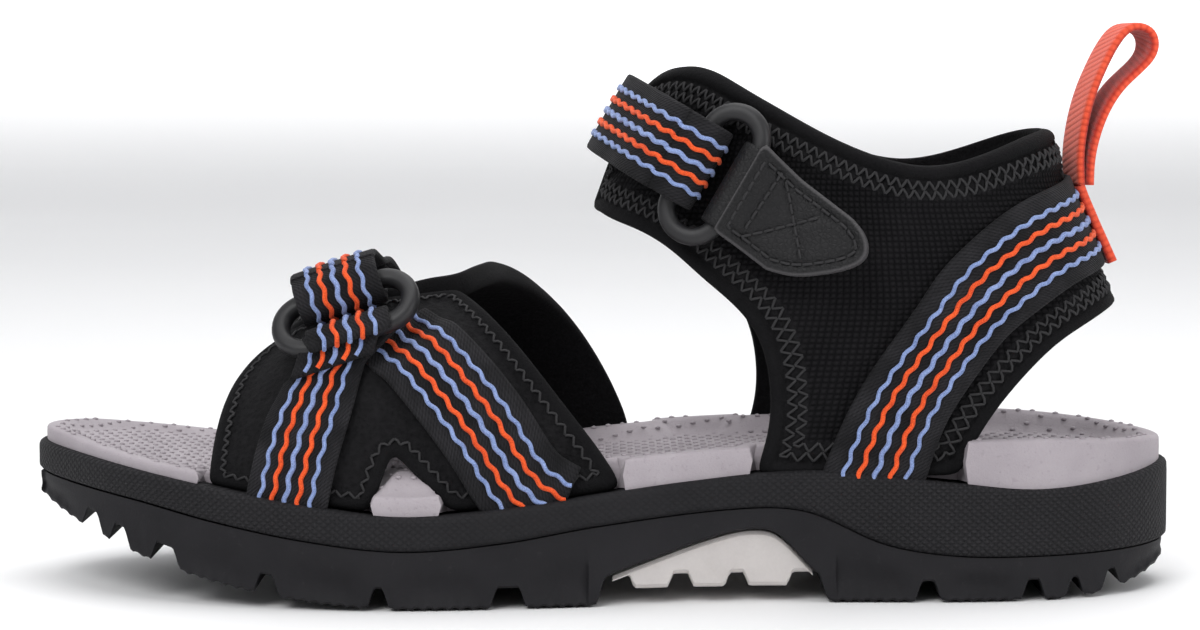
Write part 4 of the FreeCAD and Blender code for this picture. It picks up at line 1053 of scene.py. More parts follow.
def footbed_dots():
    line = footbed_outline()
    rows = []
    for j, y in enumerate(np.arange(-36, 36, 2.6)):
        x = np.arange(-96 + 1.3 * (j % 2), 96, 2.6)
        rows.append(np.column_stack([x, np.full_like(x, y)]))
    p = np.vstack(rows)
    p = p[inside(p, line)]
    d = distance_to(p, line)
    p, d = p[d > 1.3], d[d > 1.3]
    mesh = bpy.data.meshes.new("dot_points")
    spots = np.column_stack([p, footbed_top(p[:, 0], p[:, 1], d) + 0.02])
    mesh.from_pydata((spots * MM + SHIFT).tolist(), [], [])
    source = bpy.data.objects.new("dot_points", mesh)
    bpy.context.scene.collection.objects.link(source)
    return grow("footbed_dots", source, DOTS, Radius=0.0006, Seed=3, Material=footbed_foam)


dots = footbed_dots()
settle(dots, "sandal", "footbed")
print("footbed faces:", len(footbed.data.polygons), "dots faces:", len(dots.data.polygons))


# %% [markdown]
# ## Forefoot and ankle panels
# Each panel is cut from a flat pattern: its outline is drawn as seen from the side, moved onto the form's
# flat map, and cut off at the sole, at the top seam or at the heel seam. The edge is rolled like a binding,
# a brushed band lies behind it, and the mesh field sits a little lower and puffs with its thin foam.

# %% Panel outlines
def bridge_over(points, dropped, project):
    """A closed outline whose dropped runs are replaced by a line along a boundary."""
    n = len(points)
    start = next(i for i in range(n) if not dropped[i] and dropped[i - 1])
    found, missing = [], False

    def fill_to(b):
        a = found[-1]
        count = max(2, int(np.linalg.norm(b - a) / 1.1))
        found.extend(project(a + (b - a) * k / count) for k in range(count + 1))

    for k in range(n):
        i = (start + k) % n
        if dropped[i]:
            missing = True
            continue
        if missing:
            fill_to(points[i])
            missing = False
        found.append(points[i])
    if missing:
        fill_to(found[0])
    line = np.array(found)
    keep = np.linalg.norm(line - np.roll(line, 1, axis=0), axis=1) > 0.12
    return line[keep]


VAMP_OUTER = outline_of(
    [(-66.5, 6), (-66.0, 20), (-64.8, 30), (-62.8, 36), (-60, 39.6), (-55, 43.5), (-50, 46.5), (-44, 50),
     (-38, 53), (-31, 54.6), (-25.5, 52.6), (-20.8, 50.0), (-15.6, 45.6), (-11, 40.4), (-5.2, 33), (-0.6, 27),
     (3.2, 21), (8, 12), (11, 6)],
    [(11, 6), (-14, 6)], [(-14, 6), (-23.5, 14.5)], [(-23.5, 14.5), (-34.6, 26.6)],
    [(-34.6, 26.6), (-38.4, 16)], [(-38.4, 16), (-41, 6)], [(-41, 6), (-66.5, 6)], step=0.8)
VAMP_INNER = [(-63, 6), (-62.2, 20), (-60.5, 32), (-57, 41), (-51, 48.5), (-44, 54), (-36, 59), (-28, 60),
              (-23, 57.5), (-18.3, 54.0), (-14.6, 52.3), (-9, 48.6), (-3.4, 42.0), (1.2, 34.4), (4.6, 27),
              (7.6, 16), (9, 6)]
QUARTER = outline_of(
    [(26.3, 6), (26.4, 22), (28.2, 28.5), (28.6, 35.3), (27.9, 40.4), (26.3, 45.0), (22.6, 49.8),
     (17, 54.6), (11.4, 59.4), (5.6, 62.6), (0.5, 64.6), (-2.6, 67.6), (-2.6, 71.8), (0.4, 76.4), (4.8, 82),
     (8.6, 87), (12, 89.8), (16.4, 90.2), (22, 87.7), (30.3, 83), (38.7, 78.5), (47.1, 75.1), (55.6, 73.5),
     (64.3, 75.0), (71.8, 77.6), (77.9, 79.4), (81, 79.4), (84, 77)],
    [(84, 77), (96, 56)],
    [(96, 56), (94, 50.2), (90.8, 49.2), (84.4, 46.6), (78.6, 43.4), (72.4, 38), (67.5, 32.4), (62.6, 24.6),
     (59.6, 17), (58, 6)],
    [(58, 6), (26.3, 6)], step=0.8)


def seam_run(y, x):
    """Where the height of the forefoot form is cut by a plane y = constant, in the flat map."""
    centre, half, high = arch_size(x, 2.0)
    c = np.clip((y - centre) / half, -1, 1)
    turn = np.degrees(np.arccos(np.sign(c) * np.abs(c) ** (ARCH_POWER / 2)))
    return np.interp(turn, arch_turns, arch_run)


def sole_run(x, outer=True):
    return arch_flat(np.column_stack([x, midsole_top(x) + 0.15]), outer)[:, 0]


def vamp_outline_outer():
    flat = arch_flat(VAMP_OUTER)
    x, z = VAMP_OUTER.T
    line = bridge_over(flat, z < midsole_top(x) + 0.15,
                       lambda p: np.array([sole_run(p[1:2])[0], p[1]]))
    return bridge_over(line, line[:, 0] < seam_run(-15.0, line[:, 1]),
                       lambda p: np.array([seam_run(-15.0, p[1:2])[0], p[1]]))


def vamp_outline_inner():
    line = smooth_curve(VAMP_INNER, 0.8)
    x, z = line.T
    shown = (z > midsole_top(x) + 0.15) & (z < ARCH_TOP(x) + 2.0)
    rear_start = int(np.argmax(line[:, 1] >= ARCH_TOP(line[:, 0]) + 2.0))
    front, rear = line[:rear_start][shown[:rear_start]], line[rear_start:][shown[rear_start:]]
    limit = lambda flat: flat[flat[:, 0] < seam_run(-14.4, flat[:, 1])]
    front_out = limit(arch_flat(front)[::-1])
    rear_out = smooth_curve([(seam_run(-14.4, -23.0), -23.0), (7.0, -21.0), (1.0, -19.0)], 0.8)
    seam_x = np.linspace(front_out[-1, 1], rear_out[0, 1], 30)[1:-1]
    seam = np.column_stack([seam_run(-14.4, seam_x), seam_x])
    rear_in, front_in = arch_flat(rear, False), arch_flat(front, False)
    foot_x = np.linspace(rear_in[-1, 1], front_in[0, 1], 60)[1:-1]
    foot = np.column_stack([sole_run(foot_x, False), foot_x])
    whole = np.vstack([front_in, front_out, seam, rear_out, rear_in, foot])
    keep = np.linalg.norm(whole - np.roll(whole, 1, axis=0), axis=1) > 0.12
    return whole[keep]


def quarter_outline(outer=True):
    sign = 1 if outer else -1
    flat = ankle_flat(QUARTER, outer)
    x, z = QUARTER.T
    mid, long_half, _, _ = ankle_size(z, 2.0)
    heel_u = abs(ankle_run[-1] if outer else ankle_run[0]) - 0.1
    run = np.abs(flat[:, 0])
    low = z < midsole_top(x) + 0.15
    line = bridge_over(flat, low, lambda p: np.array([p[0], 21.2]))
    run = np.abs(line[:, 0])
    line = bridge_over(line, run > heel_u - 0.3, lambda p: np.array([sign * heel_u, p[1]]))
    return bridge_over(line, np.abs(line[:, 0]) < 3.2, lambda p: np.array([sign * 3.2, p[1]]))


def rounded(line, passes=6):
    """The outline with its sharp corners softened."""
    line = evenly(np.vstack([line, line[:1]]), 0.9, closed=True)
    for _ in range(passes):
        line = 0.5 * line + 0.25 * (np.roll(line, 1, axis=0) + np.roll(line, -1, axis=0))
    return line


# %% [markdown]
# ## The padded panels
# Each panel is knit lining, thin foam and cloth sewn together, about 2.6 mm thick. That is too thin for a
# cloth simulation on a remeshed copy, which would melt the rolled edge away. So the thickness is a profile
# from the edge inwards: a roll, a stitched groove, a brushed band and a field that puffs up a little.

# %% Padded panels
def ripple(u, v, size, seed):
    return (np.sin(u / size + seed) * np.cos(v / (1.3 * size) - 2 * seed)
            + 0.5 * np.sin((u + v) / (0.6 * size) + 3 * seed)) / 1.5


def pad_upper(trim, puff, seed, collar=0.0):
    """The outer face of a panel: a rolled edge, a stitched groove, a brushed band and a puffed field."""
    def at(u, v, d):
        roll = 2.6 * (0.42 + 0.58 * round_edge(d, 1.1)) - 0.5 * ease((d - 1.5) / 0.8)
        ridge = 0.5 * np.exp(-((d - trim + 0.35) / 0.5) ** 2)
        groove = -0.5 * np.exp(-((d - 2.5) / 0.35) ** 2)
        field = (puff * ease((d - trim) / 4.5) + 0.12 * ripple(u, v, 5.0, seed)) * ease((d - 1.5) / 2.0)
        height = roll + ridge + groove + field - 0.35 * ease((d - trim + 0.4) / 0.8)
        height += (collar * ease(d / 1.5) * ease((9.0 - d) / 6.0) * ease((40.0 - np.abs(u)) / 25.0)
                   * ease((v + 42) / 14.0))
        return np.minimum(np.where(d == 0, 1.1, height), 2.62 + collar)
    return at


def pad_lower(seed):
    def at(u, v, d):
        dents = 0.08 * (1 + ripple(u, v, 6.0, seed + 1))
        return np.where(d == 0, 1.1, 0.75 * (1 - round_edge(d, 1.1)) + dents)
    return at


PAD_RINGS = (0.12, 0.35, 0.7, 1.1, 1.7, 2.2, 2.5, 2.9, 3.6)
panels = []
for name, line, place, trim, seed in (
        ("vamp_outer", vamp_outline_outer(), arch_place, 2.9, 0.4),
        ("vamp_inner", vamp_outline_inner(), arch_place, 2.9, 1.7),
        ("quarter_outer", quarter_outline(True), ankle_place, 6.3, 2.2),
        ("quarter_inner", quarter_outline(False), ankle_place, 6.3, 3.1)):
    made = panel(name + "_padded", rounded(line, 30 if name == "vamp_inner" else 6), place,
                 pad_upper(trim, 0.28, seed, 1.7 if name == "vamp_inner" else 0.0), pad_lower(seed),
                 step=1.5, rings=PAD_RINGS)
    dress(made, curly_cloth if "vamp" in name else upper_cloth)
    settle(made, "sandal", "upper_cloth", name + "_lining", name + "_field", name + "_trim")
    panels.append(made)
    print(name, "faces", len(made.data.polygons))


# %% [markdown]
# ## Striped webbing
# Webbing is a narrow woven band. Its cloth is one ribbon; five thick wavy yarns lie on its face, blue,
# orange, blue, orange, blue, and the middle blue is a little thicker.

# %% Webbing on the forms
STRIPES = [(-4.5, "blue", 0.38), (-2.25, "orange", 0.43), (0.0, "blue", 0.45), (2.25, "orange", 0.43),
           (4.5, "blue", 0.38)]
yarn_lines = {}


def add_stripes(key, centre, side, normal, lift):
    """Yarn lines on the face of a strap, kept until all straps of a body are known."""
    run = length_along(centre)
    where = np.linspace(0.25, run[-1] - 0.25, max(4, int(run[-1] / 0.45)))
    spread = lambda a: np.column_stack([np.interp(where, run, a[:, k]) for k in range(3)])
    c, s, n = spread(centre), spread(side), spread(normal)
    s /= np.linalg.norm(s, axis=1)[:, None]
    for across, colour, radius in STRIPES:
        yarn_lines.setdefault((key, colour, radius), []).append((c + s * across + n * lift, s))


def web_on(name, place, path, low, high, tuck=0.0):
    """Webbing laid on a form along a path in its flat map; tuck sinks its far end under another strap."""
    line = smooth_curve(path, 0.8) if len(path) > 2 else evenly(np.array(path, float), 0.8)
    tangent = np.gradient(line, axis=0)
    tangent /= np.linalg.norm(tangent, axis=1)[:, None]
    across = np.column_stack([-tangent[:, 1], tangent[:, 0]])
    w = np.concatenate([SECTION_W, SECTION_W[-2:0:-1]])
    h = np.concatenate([SECTION_H, -SECTION_H[-2:0:-1]])
    m, n = len(w), len(line)
    middle, thick = (low + high) / 2, high - low
    run = length_along(line)
    sink = tuck * ease((run - run[-1] + 9.0) / 5.0)
    rings = []
    for p, a, down in zip(line, across, sink):
        q = p + np.outer(w * HALF_WEB, a)
        rings.append(place(q[:, 0], q[:, 1], middle - down + h * thick))
    uv = np.stack([np.repeat(run, m), np.tile(w * HALF_WEB, n)], -1)
    obj = loft(name, rings, (True, True), uv, outside=np.tile((h > -0.01).astype(float), n))
    fix_normals(obj)
    dress(obj, webbing_cloth)
    lines = []
    for shift in (-1.0, 0.0, 1.0):
        q = line + across * shift
        lines.append(place(q[:, 0], q[:, 1], high - sink))
    left, centre, right = lines
    side = (right - left) / 2
    along = np.gradient(centre, axis=0)
    normal = np.cross(side, along)
    normal /= np.linalg.norm(normal, axis=1)[:, None]
    out = place(line[:, 0], line[:, 1], high + 1.0) - centre
    normal *= np.sign((normal * out).sum(1))[:, None]
    where = np.linspace(0.25, run[-1] - 0.25, int(run[-1] / 0.45))
    for across_mm, colour, radius in STRIPES:
        p = np.column_stack([np.interp(where, run, line[:, k] + across[:, k] * across_mm) for k in (0, 1)])
        s = np.column_stack([np.interp(where, run, side[:, k]) for k in range(3)])
        s /= np.linalg.norm(s, axis=1)[:, None]
        lift = high + 0.1 - np.interp(where, run, sink)
        yarn_lines.setdefault(("sandal", colour, radius), []).append((place(p[:, 0], p[:, 1], lift), s))
    return obj


def side_path(points, kind, outer=True):
    """A path in a flat map from side-view points."""
    return (arch_flat if kind == "arch" else ankle_flat)(smooth_curve(points, 2.5), outer)


REAR_WEB_LINE = [(-6.6, 15.5), (-11.5, 18.7), (-17.6, 27), (-24.2, 35.6), (-31, 42.5), (-35.5, 45.8)]
INNER_REAR_LINE = [(-8.0, 17.6), (-11, 24), (-14.5, 32), (-20.5, 42)]
HEEL_WEB_LINE = [(45.6, 20.6), (50.6, 33.2), (56.2, 41.8), (63.4, 51.0), (70.2, 57.2), (77, 61.2),
                 (82.0, 63.0)]
rear_web = web_on("webbing_rear_outer", arch_place, side_path(REAR_WEB_LINE, "arch"), 2.7, 4.0, tuck=1.3)
settle(rear_web, "sandal", "webbing", "rear_webbing_outer")
inner_web = web_on("webbing_rear_inner", arch_place, side_path(INNER_REAR_LINE, "arch", False), 2.7, 4.0)
settle(inner_web, "sandal", "webbing", "rear_webbing_inner")
outer_heel = ankle_flat(smooth_curve(HEEL_WEB_LINE, 2.5), True)
inner_heel = ankle_flat(smooth_curve(HEEL_WEB_LINE, 2.5), False)
inner_heel[:, 0] += ankle_run[-1] - ankle_run[0]
keep_outer = outer_heel[outer_heel[:, 0] < ankle_run[-1] - 5]
keep_inner = inner_heel[inner_heel[:, 0] > ankle_run[-1] + 5][::-1]
heel_path = np.vstack([keep_outer, [(ankle_run[-1], 63.9)], keep_inner])


def heel_place(u, v, offset):
    """The ankle map, going on past the heel onto the inner side."""
    turn = np.where(u <= ankle_run[-1], np.interp(u, ankle_run, TURNS),
                    np.interp(u - (ankle_run[-1] - ankle_run[0]), ankle_run, TURNS))
    return ankle_at(v, turn, offset)


heel_web = web_on("webbing_heel", heel_place, heel_path[::2], 2.7, 4.0)
settle(heel_web, "sandal", "webbing", "heel_webbing")


# %% [markdown]
# ## Straps through the rings
# A closure strap runs in one plane, square to its ring's bar. Its base goes to the bar, the fold goes
# through the ring and round it, and the tip lies back over the base. The fold rides on neither body.

# %% Strap planes
class StrapPlane:
    def __init__(self, kind, start, slope):
        self.kind, self.start = kind, start
        self.bar = np.array([math.cos(math.radians(slope)), 0, math.sin(math.radians(slope))])

    def point(self, turn, offset):
        x, z = self.start
        for _ in range(14):
            if self.kind == "arch":
                p = arch_at(np.float64(x), turn, offset)
                x = self.start[0] - (p[2] - self.start[1]) * self.bar[2] / self.bar[0]
            else:
                p = ankle_at(np.float64(z), turn, offset)
                z = self.start[1] - (p[0] - self.start[0]) * self.bar[0] / self.bar[2]
        return p - self.bar * np.dot(p - np.array([self.start[0], 0, self.start[1]]), self.bar)

    def line(self, first, last, count, offsets):
        """Points and outward normals at even turns; offsets is a function of the way along."""
        t = np.linspace(0, 1, count)
        turns = first + (last - first) * t
        low = np.array([self.point(a, offsets(k)) for a, k in zip(turns, t)])
        out = np.array([self.point(a, offsets(k) + 0.5) for a, k in zip(turns, t)]) - low
        along = np.gradient(low, axis=0)
        normal = np.cross(along, self.bar)
        normal *= np.sign((normal * out).sum(1))[:, None]
        return low, normal / np.linalg.norm(normal, axis=1)[:, None]


def rising(rest, end, part):
    return lambda t: rest + (end - rest) * float(ease((t - 1 + part) / part))


WIRE, FOLD = 1.6, 2.5
front_plane = StrapPlane("arch", (-42.6, 48.2), 18.0)
front_out = np.array([-0.1986, -0.7660, 0.6113])
front_in = np.array([-0.2367, 0.6428, 0.7286])
front_low_bar = front_plane.point(134.0, 6.0)
front_top_bar = front_low_bar + front_in * 9.4
ankle_plane = StrapPlane("ankle", (19.5, 72.0), 59.7)
here = ankle_plane.point(243.0, 0.0)
to_strap = ankle_plane.point(239.0, 0.0) - ankle_plane.point(247.0, 0.0)
to_strap /= np.linalg.norm(to_strap)
ankle_out = np.cross(to_strap, ankle_plane.bar)
ankle_out *= -np.sign(ankle_out[1])
ankle_out /= np.linalg.norm(ankle_out)
ankle_ring_middle = here + ankle_out * 6.5
ankle_strap_bar = ankle_ring_middle + to_strap * 4.7
ankle_tab_bar = ankle_ring_middle - to_strap * 4.7
bars = (front_low_bar, front_top_bar, ankle_tab_bar, ankle_strap_bar)
print("bars:", *[bar.round(3) for bar in bars])


# %% [markdown]
# ## The two closure straps
# On the real sandal each is one piece of webbing, sewn down at one end and stuck to itself at the other. It
# is made in three lengths, base, fold and free end, because the free end turns with its own body; the fold
# rides on neither body.

# %% Closure straps
def strap_piece(name, centre, normal, bar, thick, body, slot_name, nodes=(), half=HALF_WEB, stripes=None):
    side = np.tile(bar, (len(centre), 1))
    made = ribbon(name, centre, side, normal, half, thick)
    fix_normals(made)
    dress(made, webbing_cloth)
    if stripes:
        add_stripes(stripes, centre, side, normal, thick / 2 + 0.12)
    if body:
        settle(made, body, slot_name, *nodes)
    return made


def closure(prefix, plane, bar_at, outward, inward, anchor, bar_turn, bar_offset, tip_end, flat, tip_body):
    """The base, fold and tip of one closure strap; the yarns go round with them."""
    bar = plane.bar
    base_c, base_n = plane.line(anchor, bar_turn, 70, rising(3.35, bar_offset - FOLD - 0.65, 1 - flat[0]))
    if plane.kind == "arch":
        keep = base_c[:, 2] > midsole_top(base_c[:, 0]) + 0.3
        base_c, base_n = base_c[keep], base_n[keep]
    base = strap_piece(prefix + "_strap_base", base_c, base_n, bar, 1.3, "sandal", "webbing",
                       (prefix + "_strap",), stripes="sandal")
    tip_c, tip_n = plane.line(bar_turn, tip_end, 80,
                              lambda t: rising(6.15, bar_offset + 4.05, 1 - flat[1])(1 - t))
    tip_c[0] = bar_at + outward * 4.05
    tip = strap_piece(prefix + "_strap_end", tip_c[2:], tip_n[2:], bar, 1.3, tip_body, "webbing",
                      (prefix + "_strap_tip",), stripes=tip_body)
    angles = np.radians(np.linspace(-90, 90, 25))
    through = -inward
    radius = np.linspace(3.15, 4.05, 25)
    middle = np.array([bar_at + (outward * math.sin(a) + through * math.cos(a)) * r
                       for a, r in zip(angles, radius)])
    outwards = np.array([outward * math.sin(a) + through * math.cos(a) for a in angles])
    under = base_c[-1] + (base_c[-1] - base_c[-2]) * 0.0
    lead = np.array([under + (middle[0] - under) * s for s in (0.0, 0.5)])
    tail = np.array([middle[-1] + (tip_c[3] - middle[-1]) * s for s in (0.5, 1.0)])
    centre = np.vstack([lead, middle, tail])
    normals = np.vstack([np.tile(-outward, (2, 1)) * 1.0, outwards, np.tile(outward, (2, 1))])
    fold = strap_piece(prefix + "_strap_fold", centre, normals, bar, 1.25, None, None, half=7.4,
                       stripes=prefix + "_fold")
    return base, fold, tip


front_parts = closure("front", front_plane, front_top_bar, front_out, front_in, 1.0, 119.02, 8.41, 52.0,
                      (0.72, 0.55), "front_tip")
ankle_parts = closure("ankle", ankle_plane, ankle_strap_bar, ankle_out, to_strap, 66.0, 238.65, 6.55, 112.0,
                      (0.78, 0.72), "ankle_tip")
print("strap pieces:", [o.name for o in front_parts + ankle_parts])


# %% [markdown]
# ## Hook-and-loop tape
# A strip of loop tape is sewn on the base and a strip of hooks under the free end. Both are thin ribbons
# that keep to the strap's own plane, so they lie flat on each other when the strap is closed.

# %% Hook-and-loop patches
def patch(name, plane, first, last, offset, thick, body, node):
    centre, normal = plane.line(first, last, 40, lambda t: offset)
    made = ribbon(name, centre, np.tile(plane.bar, (len(centre), 1)), normal, 6.3, thick)
    fix_normals(made)
    dress(made, hook_tape)
    settle(made, body, "hook_and_loop", node)
    return made


for prefix, plane, tip_end, bar_turn, flat, body in (
        ("front", front_plane, 52.0, 119.02, 0.55, "front_tip"),
        ("ankle", ankle_plane, 112.0, 238.65, 0.72, "ankle_tip")):
    reach = bar_turn - tip_end
    ends = tip_end + 0.06 * reach, tip_end + reach * (flat - 0.04)
    patch(prefix + "_hook_tape", plane, *ends, 5.15, 0.5, body, prefix + "_hook_patch")
    patch(prefix + "_loop_tape", plane, *ends, 4.33, 0.55, "sandal", prefix + "_loop_patch")


# %% [markdown]
# ## Rings, the folded webbing and the leather tab
# The rings are moulded ovals of round wire. The front arm's webbing comes up under its ring's lower bar,
# goes round it and is sewn down on itself. The ankle ring hangs from a leather tab that does the same.

# %% Rings
def oval_ring(name, centre, long_axis, normal, body, node):
    z = normal / np.linalg.norm(normal)
    x = long_axis / np.linalg.norm(long_axis)
    y = np.cross(z, x)
    straight, radius = 6.7, 4.7
    path = [(s, radius) for s in np.linspace(-straight, straight, 14)]
    turns = np.linspace(0, math.pi, 22)[1:-1]
    path += [(straight + radius * math.sin(a), radius * math.cos(a)) for a in turns]
    path += [(s, -radius) for s in np.linspace(straight, -straight, 14)]
    path += [(-straight - radius * math.sin(a), -radius * math.cos(a)) for a in turns]
    path = np.array(path)
    tangent = np.roll(path, -1, axis=0) - np.roll(path, 1, axis=0)
    tangent /= np.linalg.norm(tangent, axis=1)[:, None]
    outward = np.column_stack([-tangent[:, 1], tangent[:, 0]])
    around = np.linspace(0, 2 * math.pi, 20, endpoint=False)
    rings = []
    for p, o in zip(path, outward):
        flatten = 1.0 - 0.04 * np.cos(4 * around)
        a, b = WIRE * np.cos(around) * flatten, WIRE * np.sin(around) * flatten
        q = p + np.outer(a, o)
        rings.append(centre + np.outer(q[:, 0], x) + np.outer(q[:, 1], y) + np.outer(b, z))
    rings.append(rings[0])
    made = fix_normals(loft(name, rings))
    dress(made, ring_plastic)
    return settle(made, body, "ring", node)


front_ring_middle = (front_low_bar + front_top_bar) / 2
oval_ring("ring_front", front_ring_middle, front_plane.bar, front_out, "front_ring", "front_ring")
oval_ring("ring_ankle", ankle_ring_middle, ankle_plane.bar, ankle_out, "ankle_ring", "ankle_ring")
print("front ring centre, mm:", front_ring_middle.round(2))


# %% [markdown]
# ## The front arm
# The webbing of the front arm goes up the form, passes behind the ring's lower bar, comes through the ring
# and lies down on itself. One path with its own face direction at each point gives the strap its fold.

# %% Front arm webbing
def front_arm():
    """Up the form, under the bar, round through the ring, and down again on the outside."""
    flat = arch_flat(smooth_curve([(-52.3, 17.0), (-51.4, 21.5), (-48.6, 31.3), (-46.2, 38.0)], 1.0))
    up = arch_place(flat[:, 0], flat[:, 1], 3.35)
    shifted = np.gradient(flat, axis=0)
    across = np.column_stack([-shifted[:, 1], shifted[:, 0]])
    across /= np.linalg.norm(across, axis=1)[:, None]
    left = arch_place(flat[:, 0] - across[:, 0], flat[:, 1] - across[:, 1], 3.35)
    right = arch_place(flat[:, 0] + across[:, 0], flat[:, 1] + across[:, 1], 3.35)
    side = right - left
    side /= np.linalg.norm(side, axis=1)[:, None]
    bar = front_plane.bar * np.sign(side[-1] @ front_plane.bar)
    r = 2.45
    turn = [front_low_bar + (front_out * math.sin(a) + front_in * math.cos(a)) * r
            for a in np.radians(np.linspace(-90, 90, 15))]
    over = [front_low_bar + front_out * 2.15 - front_in * 2.0]
    down_flat = arch_flat(np.array([(-43.0, 42.6), (-44.0, 40.2), (-44.8, 38.2)]))
    down = arch_place(down_flat[:, 0], down_flat[:, 1], np.array([7.2, 5.7, 5.1]))
    centre = np.vstack([up, turn, over, down])
    count = len(centre)
    mix = ease((np.arange(count) - len(up) + 12) / 12.0)
    start = np.vstack([side, np.tile(side[-1], (count - len(side), 1))])
    sides = start * (1 - mix[:, None]) + bar * mix[:, None]
    sides /= np.linalg.norm(sides, axis=1)[:, None]
    line = evenly(np.hstack([centre, sides]), 0.55)
    centre, sides = line[:, :3], line[:, 3:]
    sides /= np.linalg.norm(sides, axis=1)[:, None]
    along = np.gradient(centre, axis=0)
    normal = np.cross(sides, along)
    normal /= np.linalg.norm(normal, axis=1)[:, None]
    if normal[0] @ np.array([0, -1.0, 0.2]) < 0:
        normal = -normal
    return centre, sides, normal, int(np.argmax((centre - front_low_bar) @ front_in > -2.0)) + 1


arm_c, arm_s, arm_n, turn_at = front_arm()
front_web = dress(fix_normals(ribbon("webbing_front_outer", arm_c, arm_s, arm_n, 7.3, 1.3)), webbing_cloth)
settle(front_web, "sandal", "webbing", "front_webbing_outer")
add_stripes("sandal", arm_c[:turn_at], arm_s[:turn_at], arm_n[:turn_at], 0.75)
add_stripes("sandal", arm_c[turn_at:], arm_s[turn_at:], -arm_n[turn_at:], 0.75)


# %% [markdown]
# ## The leather tab
# A die-cut tab of coated leather holds the ankle ring. Its outline is drawn in the side view and solved back
# into the ring's plane, and then it is filled like a panel. Grooves run where it is stitched, round the edge
# and in a cross, and a short ribbon makes the fold round the bar.

# %% Leather tab
def tab_outline():
    """The tab's outline in the ring's own plane: away from the bar, and along it."""
    view = outline_of([(26.6, 78.4), (29.3, 75.6)], [(29.3, 75.6), (33.7, 71.4)],
                      [(33.7, 71.4), (41.8, 65.2)],
                      [(41.8, 65.2), (44.2, 61.4), (44.0, 58.8), (41.5, 56.9), (37, 55.8), (32, 55.4),
                       (27.6, 56.4)],
                      [(27.6, 56.4), (22.5, 60.3)], [(22.5, 60.3), (15.2, 65.6)], [(15.2, 65.6), (19, 80)],
                      [(19, 80), (26.6, 78.4)], step=0.8)
    found = []
    a_dir, b_dir, n_dir = -to_strap, ankle_plane.bar, ankle_out
    matrix = np.array([[a_dir[0], b_dir[0]], [a_dir[2], b_dir[2]]])
    for x, z in view:
        n = 0.0
        for _ in range(6):
            target = np.array([x, z]) - ankle_tab_bar[[0, 2]] - n_dir[[0, 2]] * n
            a, b = np.linalg.solve(matrix, target)
            n = tab_height(a)
        found.append((a, b))
    found = np.array(found)
    found = bridge_over(found, found[:, 0] < 0.4, lambda p: np.array([0.4, np.clip(p[1], -7.6, 7.6)]))
    return evenly(np.vstack([found, found[:1]]), 0.8, closed=True)


tab_height = Profile([(-2, 2.9), (0, 2.85), (2, 2.3), (4.5, 1.0), (8, -0.5), (14, -1.15), (20, -1.4),
                      (30, -1.6)])


def tab_place(a, b, n):
    return (ankle_tab_bar - np.multiply.outer(a, to_strap) + np.multiply.outer(b, ankle_plane.bar)
            + np.multiply.outer(n + 0 * a, np.ones(3)) * ankle_out)


def tab_spot(x, z):
    """A side-view point in the tab's own plane."""
    matrix = np.array([[-to_strap[0], ankle_plane.bar[0]], [-to_strap[2], ankle_plane.bar[2]]])
    n = 0.0
    for _ in range(6):
        a, b = np.linalg.solve(matrix, np.array([x, z]) - ankle_tab_bar[[0, 2]] - ankle_out[[0, 2]] * n)
        n = tab_height(a)
    return np.array([a, b])


TAB_SEAMS = [(tab_spot(30.3, 72.5), tab_spot(23.4, 62.0)), (tab_spot(31.0, 71.0), tab_spot(33.5, 57.8)),
             (tab_spot(23.6, 61.9), tab_spot(38.2, 65.6))]


def seam_groove(a, b):
    """The dimple that each line of stitches pulls into the leather."""
    depth = np.zeros_like(a)
    for start, end in TAB_SEAMS:
        way = end - start
        t = np.clip(((a - start[0]) * way[0] + (b - start[1]) * way[1]) / (way @ way), 0, 1)
        gap = np.hypot(a - start[0] - t * way[0], b - start[1] - t * way[1])
        depth = np.maximum(depth, 0.3 * np.exp(-(gap / 0.55) ** 2))
    return depth


tab_line = tab_outline()
tab = panel("leather_tab", tab_line, tab_place,
            lambda a, b, d: (tab_height(a) - 0.45 * (1 - round_edge(d, 0.6)) - seam_groove(a, b)
                             - 0.3 * np.exp(-((d - 1.9) / 0.5) ** 2) + 0.1),
            lambda a, b, d: tab_height(a) - np.where(d == 0, 0.35, 2.2), step=0.75,
            rings=(0.08, 0.3, 0.6, 1.1, 1.5, 1.9, 2.3, 2.7))
angles = np.radians(np.linspace(-110, 80, 26))
fold_c = np.array([ankle_tab_bar + (ankle_out * math.sin(a) + to_strap * math.cos(a)) * 2.3 for a in angles])
fold_n = np.array([ankle_out * math.sin(a) + to_strap * math.cos(a) for a in angles])
more = tab_place(np.array([0.6, 2.0, 3.4]), np.zeros(3), tab_height(np.array([0.6, 2.0, 3.4])) - 0.52)
fold_c, fold_n = np.vstack([fold_c, more]), np.vstack([fold_n, np.tile(ankle_out, (3, 1))])
tab_fold = fix_normals(ribbon("leather_tab_fold", fold_c, np.tile(ankle_plane.bar, (len(fold_c), 1)), fold_n,
                              7.6, 1.1))
tab_fold.data.attributes.new("edge", "FLOAT", "POINT").data.foreach_set(
    "value", np.full(len(tab_fold.data.vertices), 2.0, np.float32))
for made in (tab, tab_fold):
    dress(made, tab_leather)
settle(smooth_by_angle(tab, 60), "sandal", "leather", "ring_tab")
settle(tab_fold, "sandal", "leather")
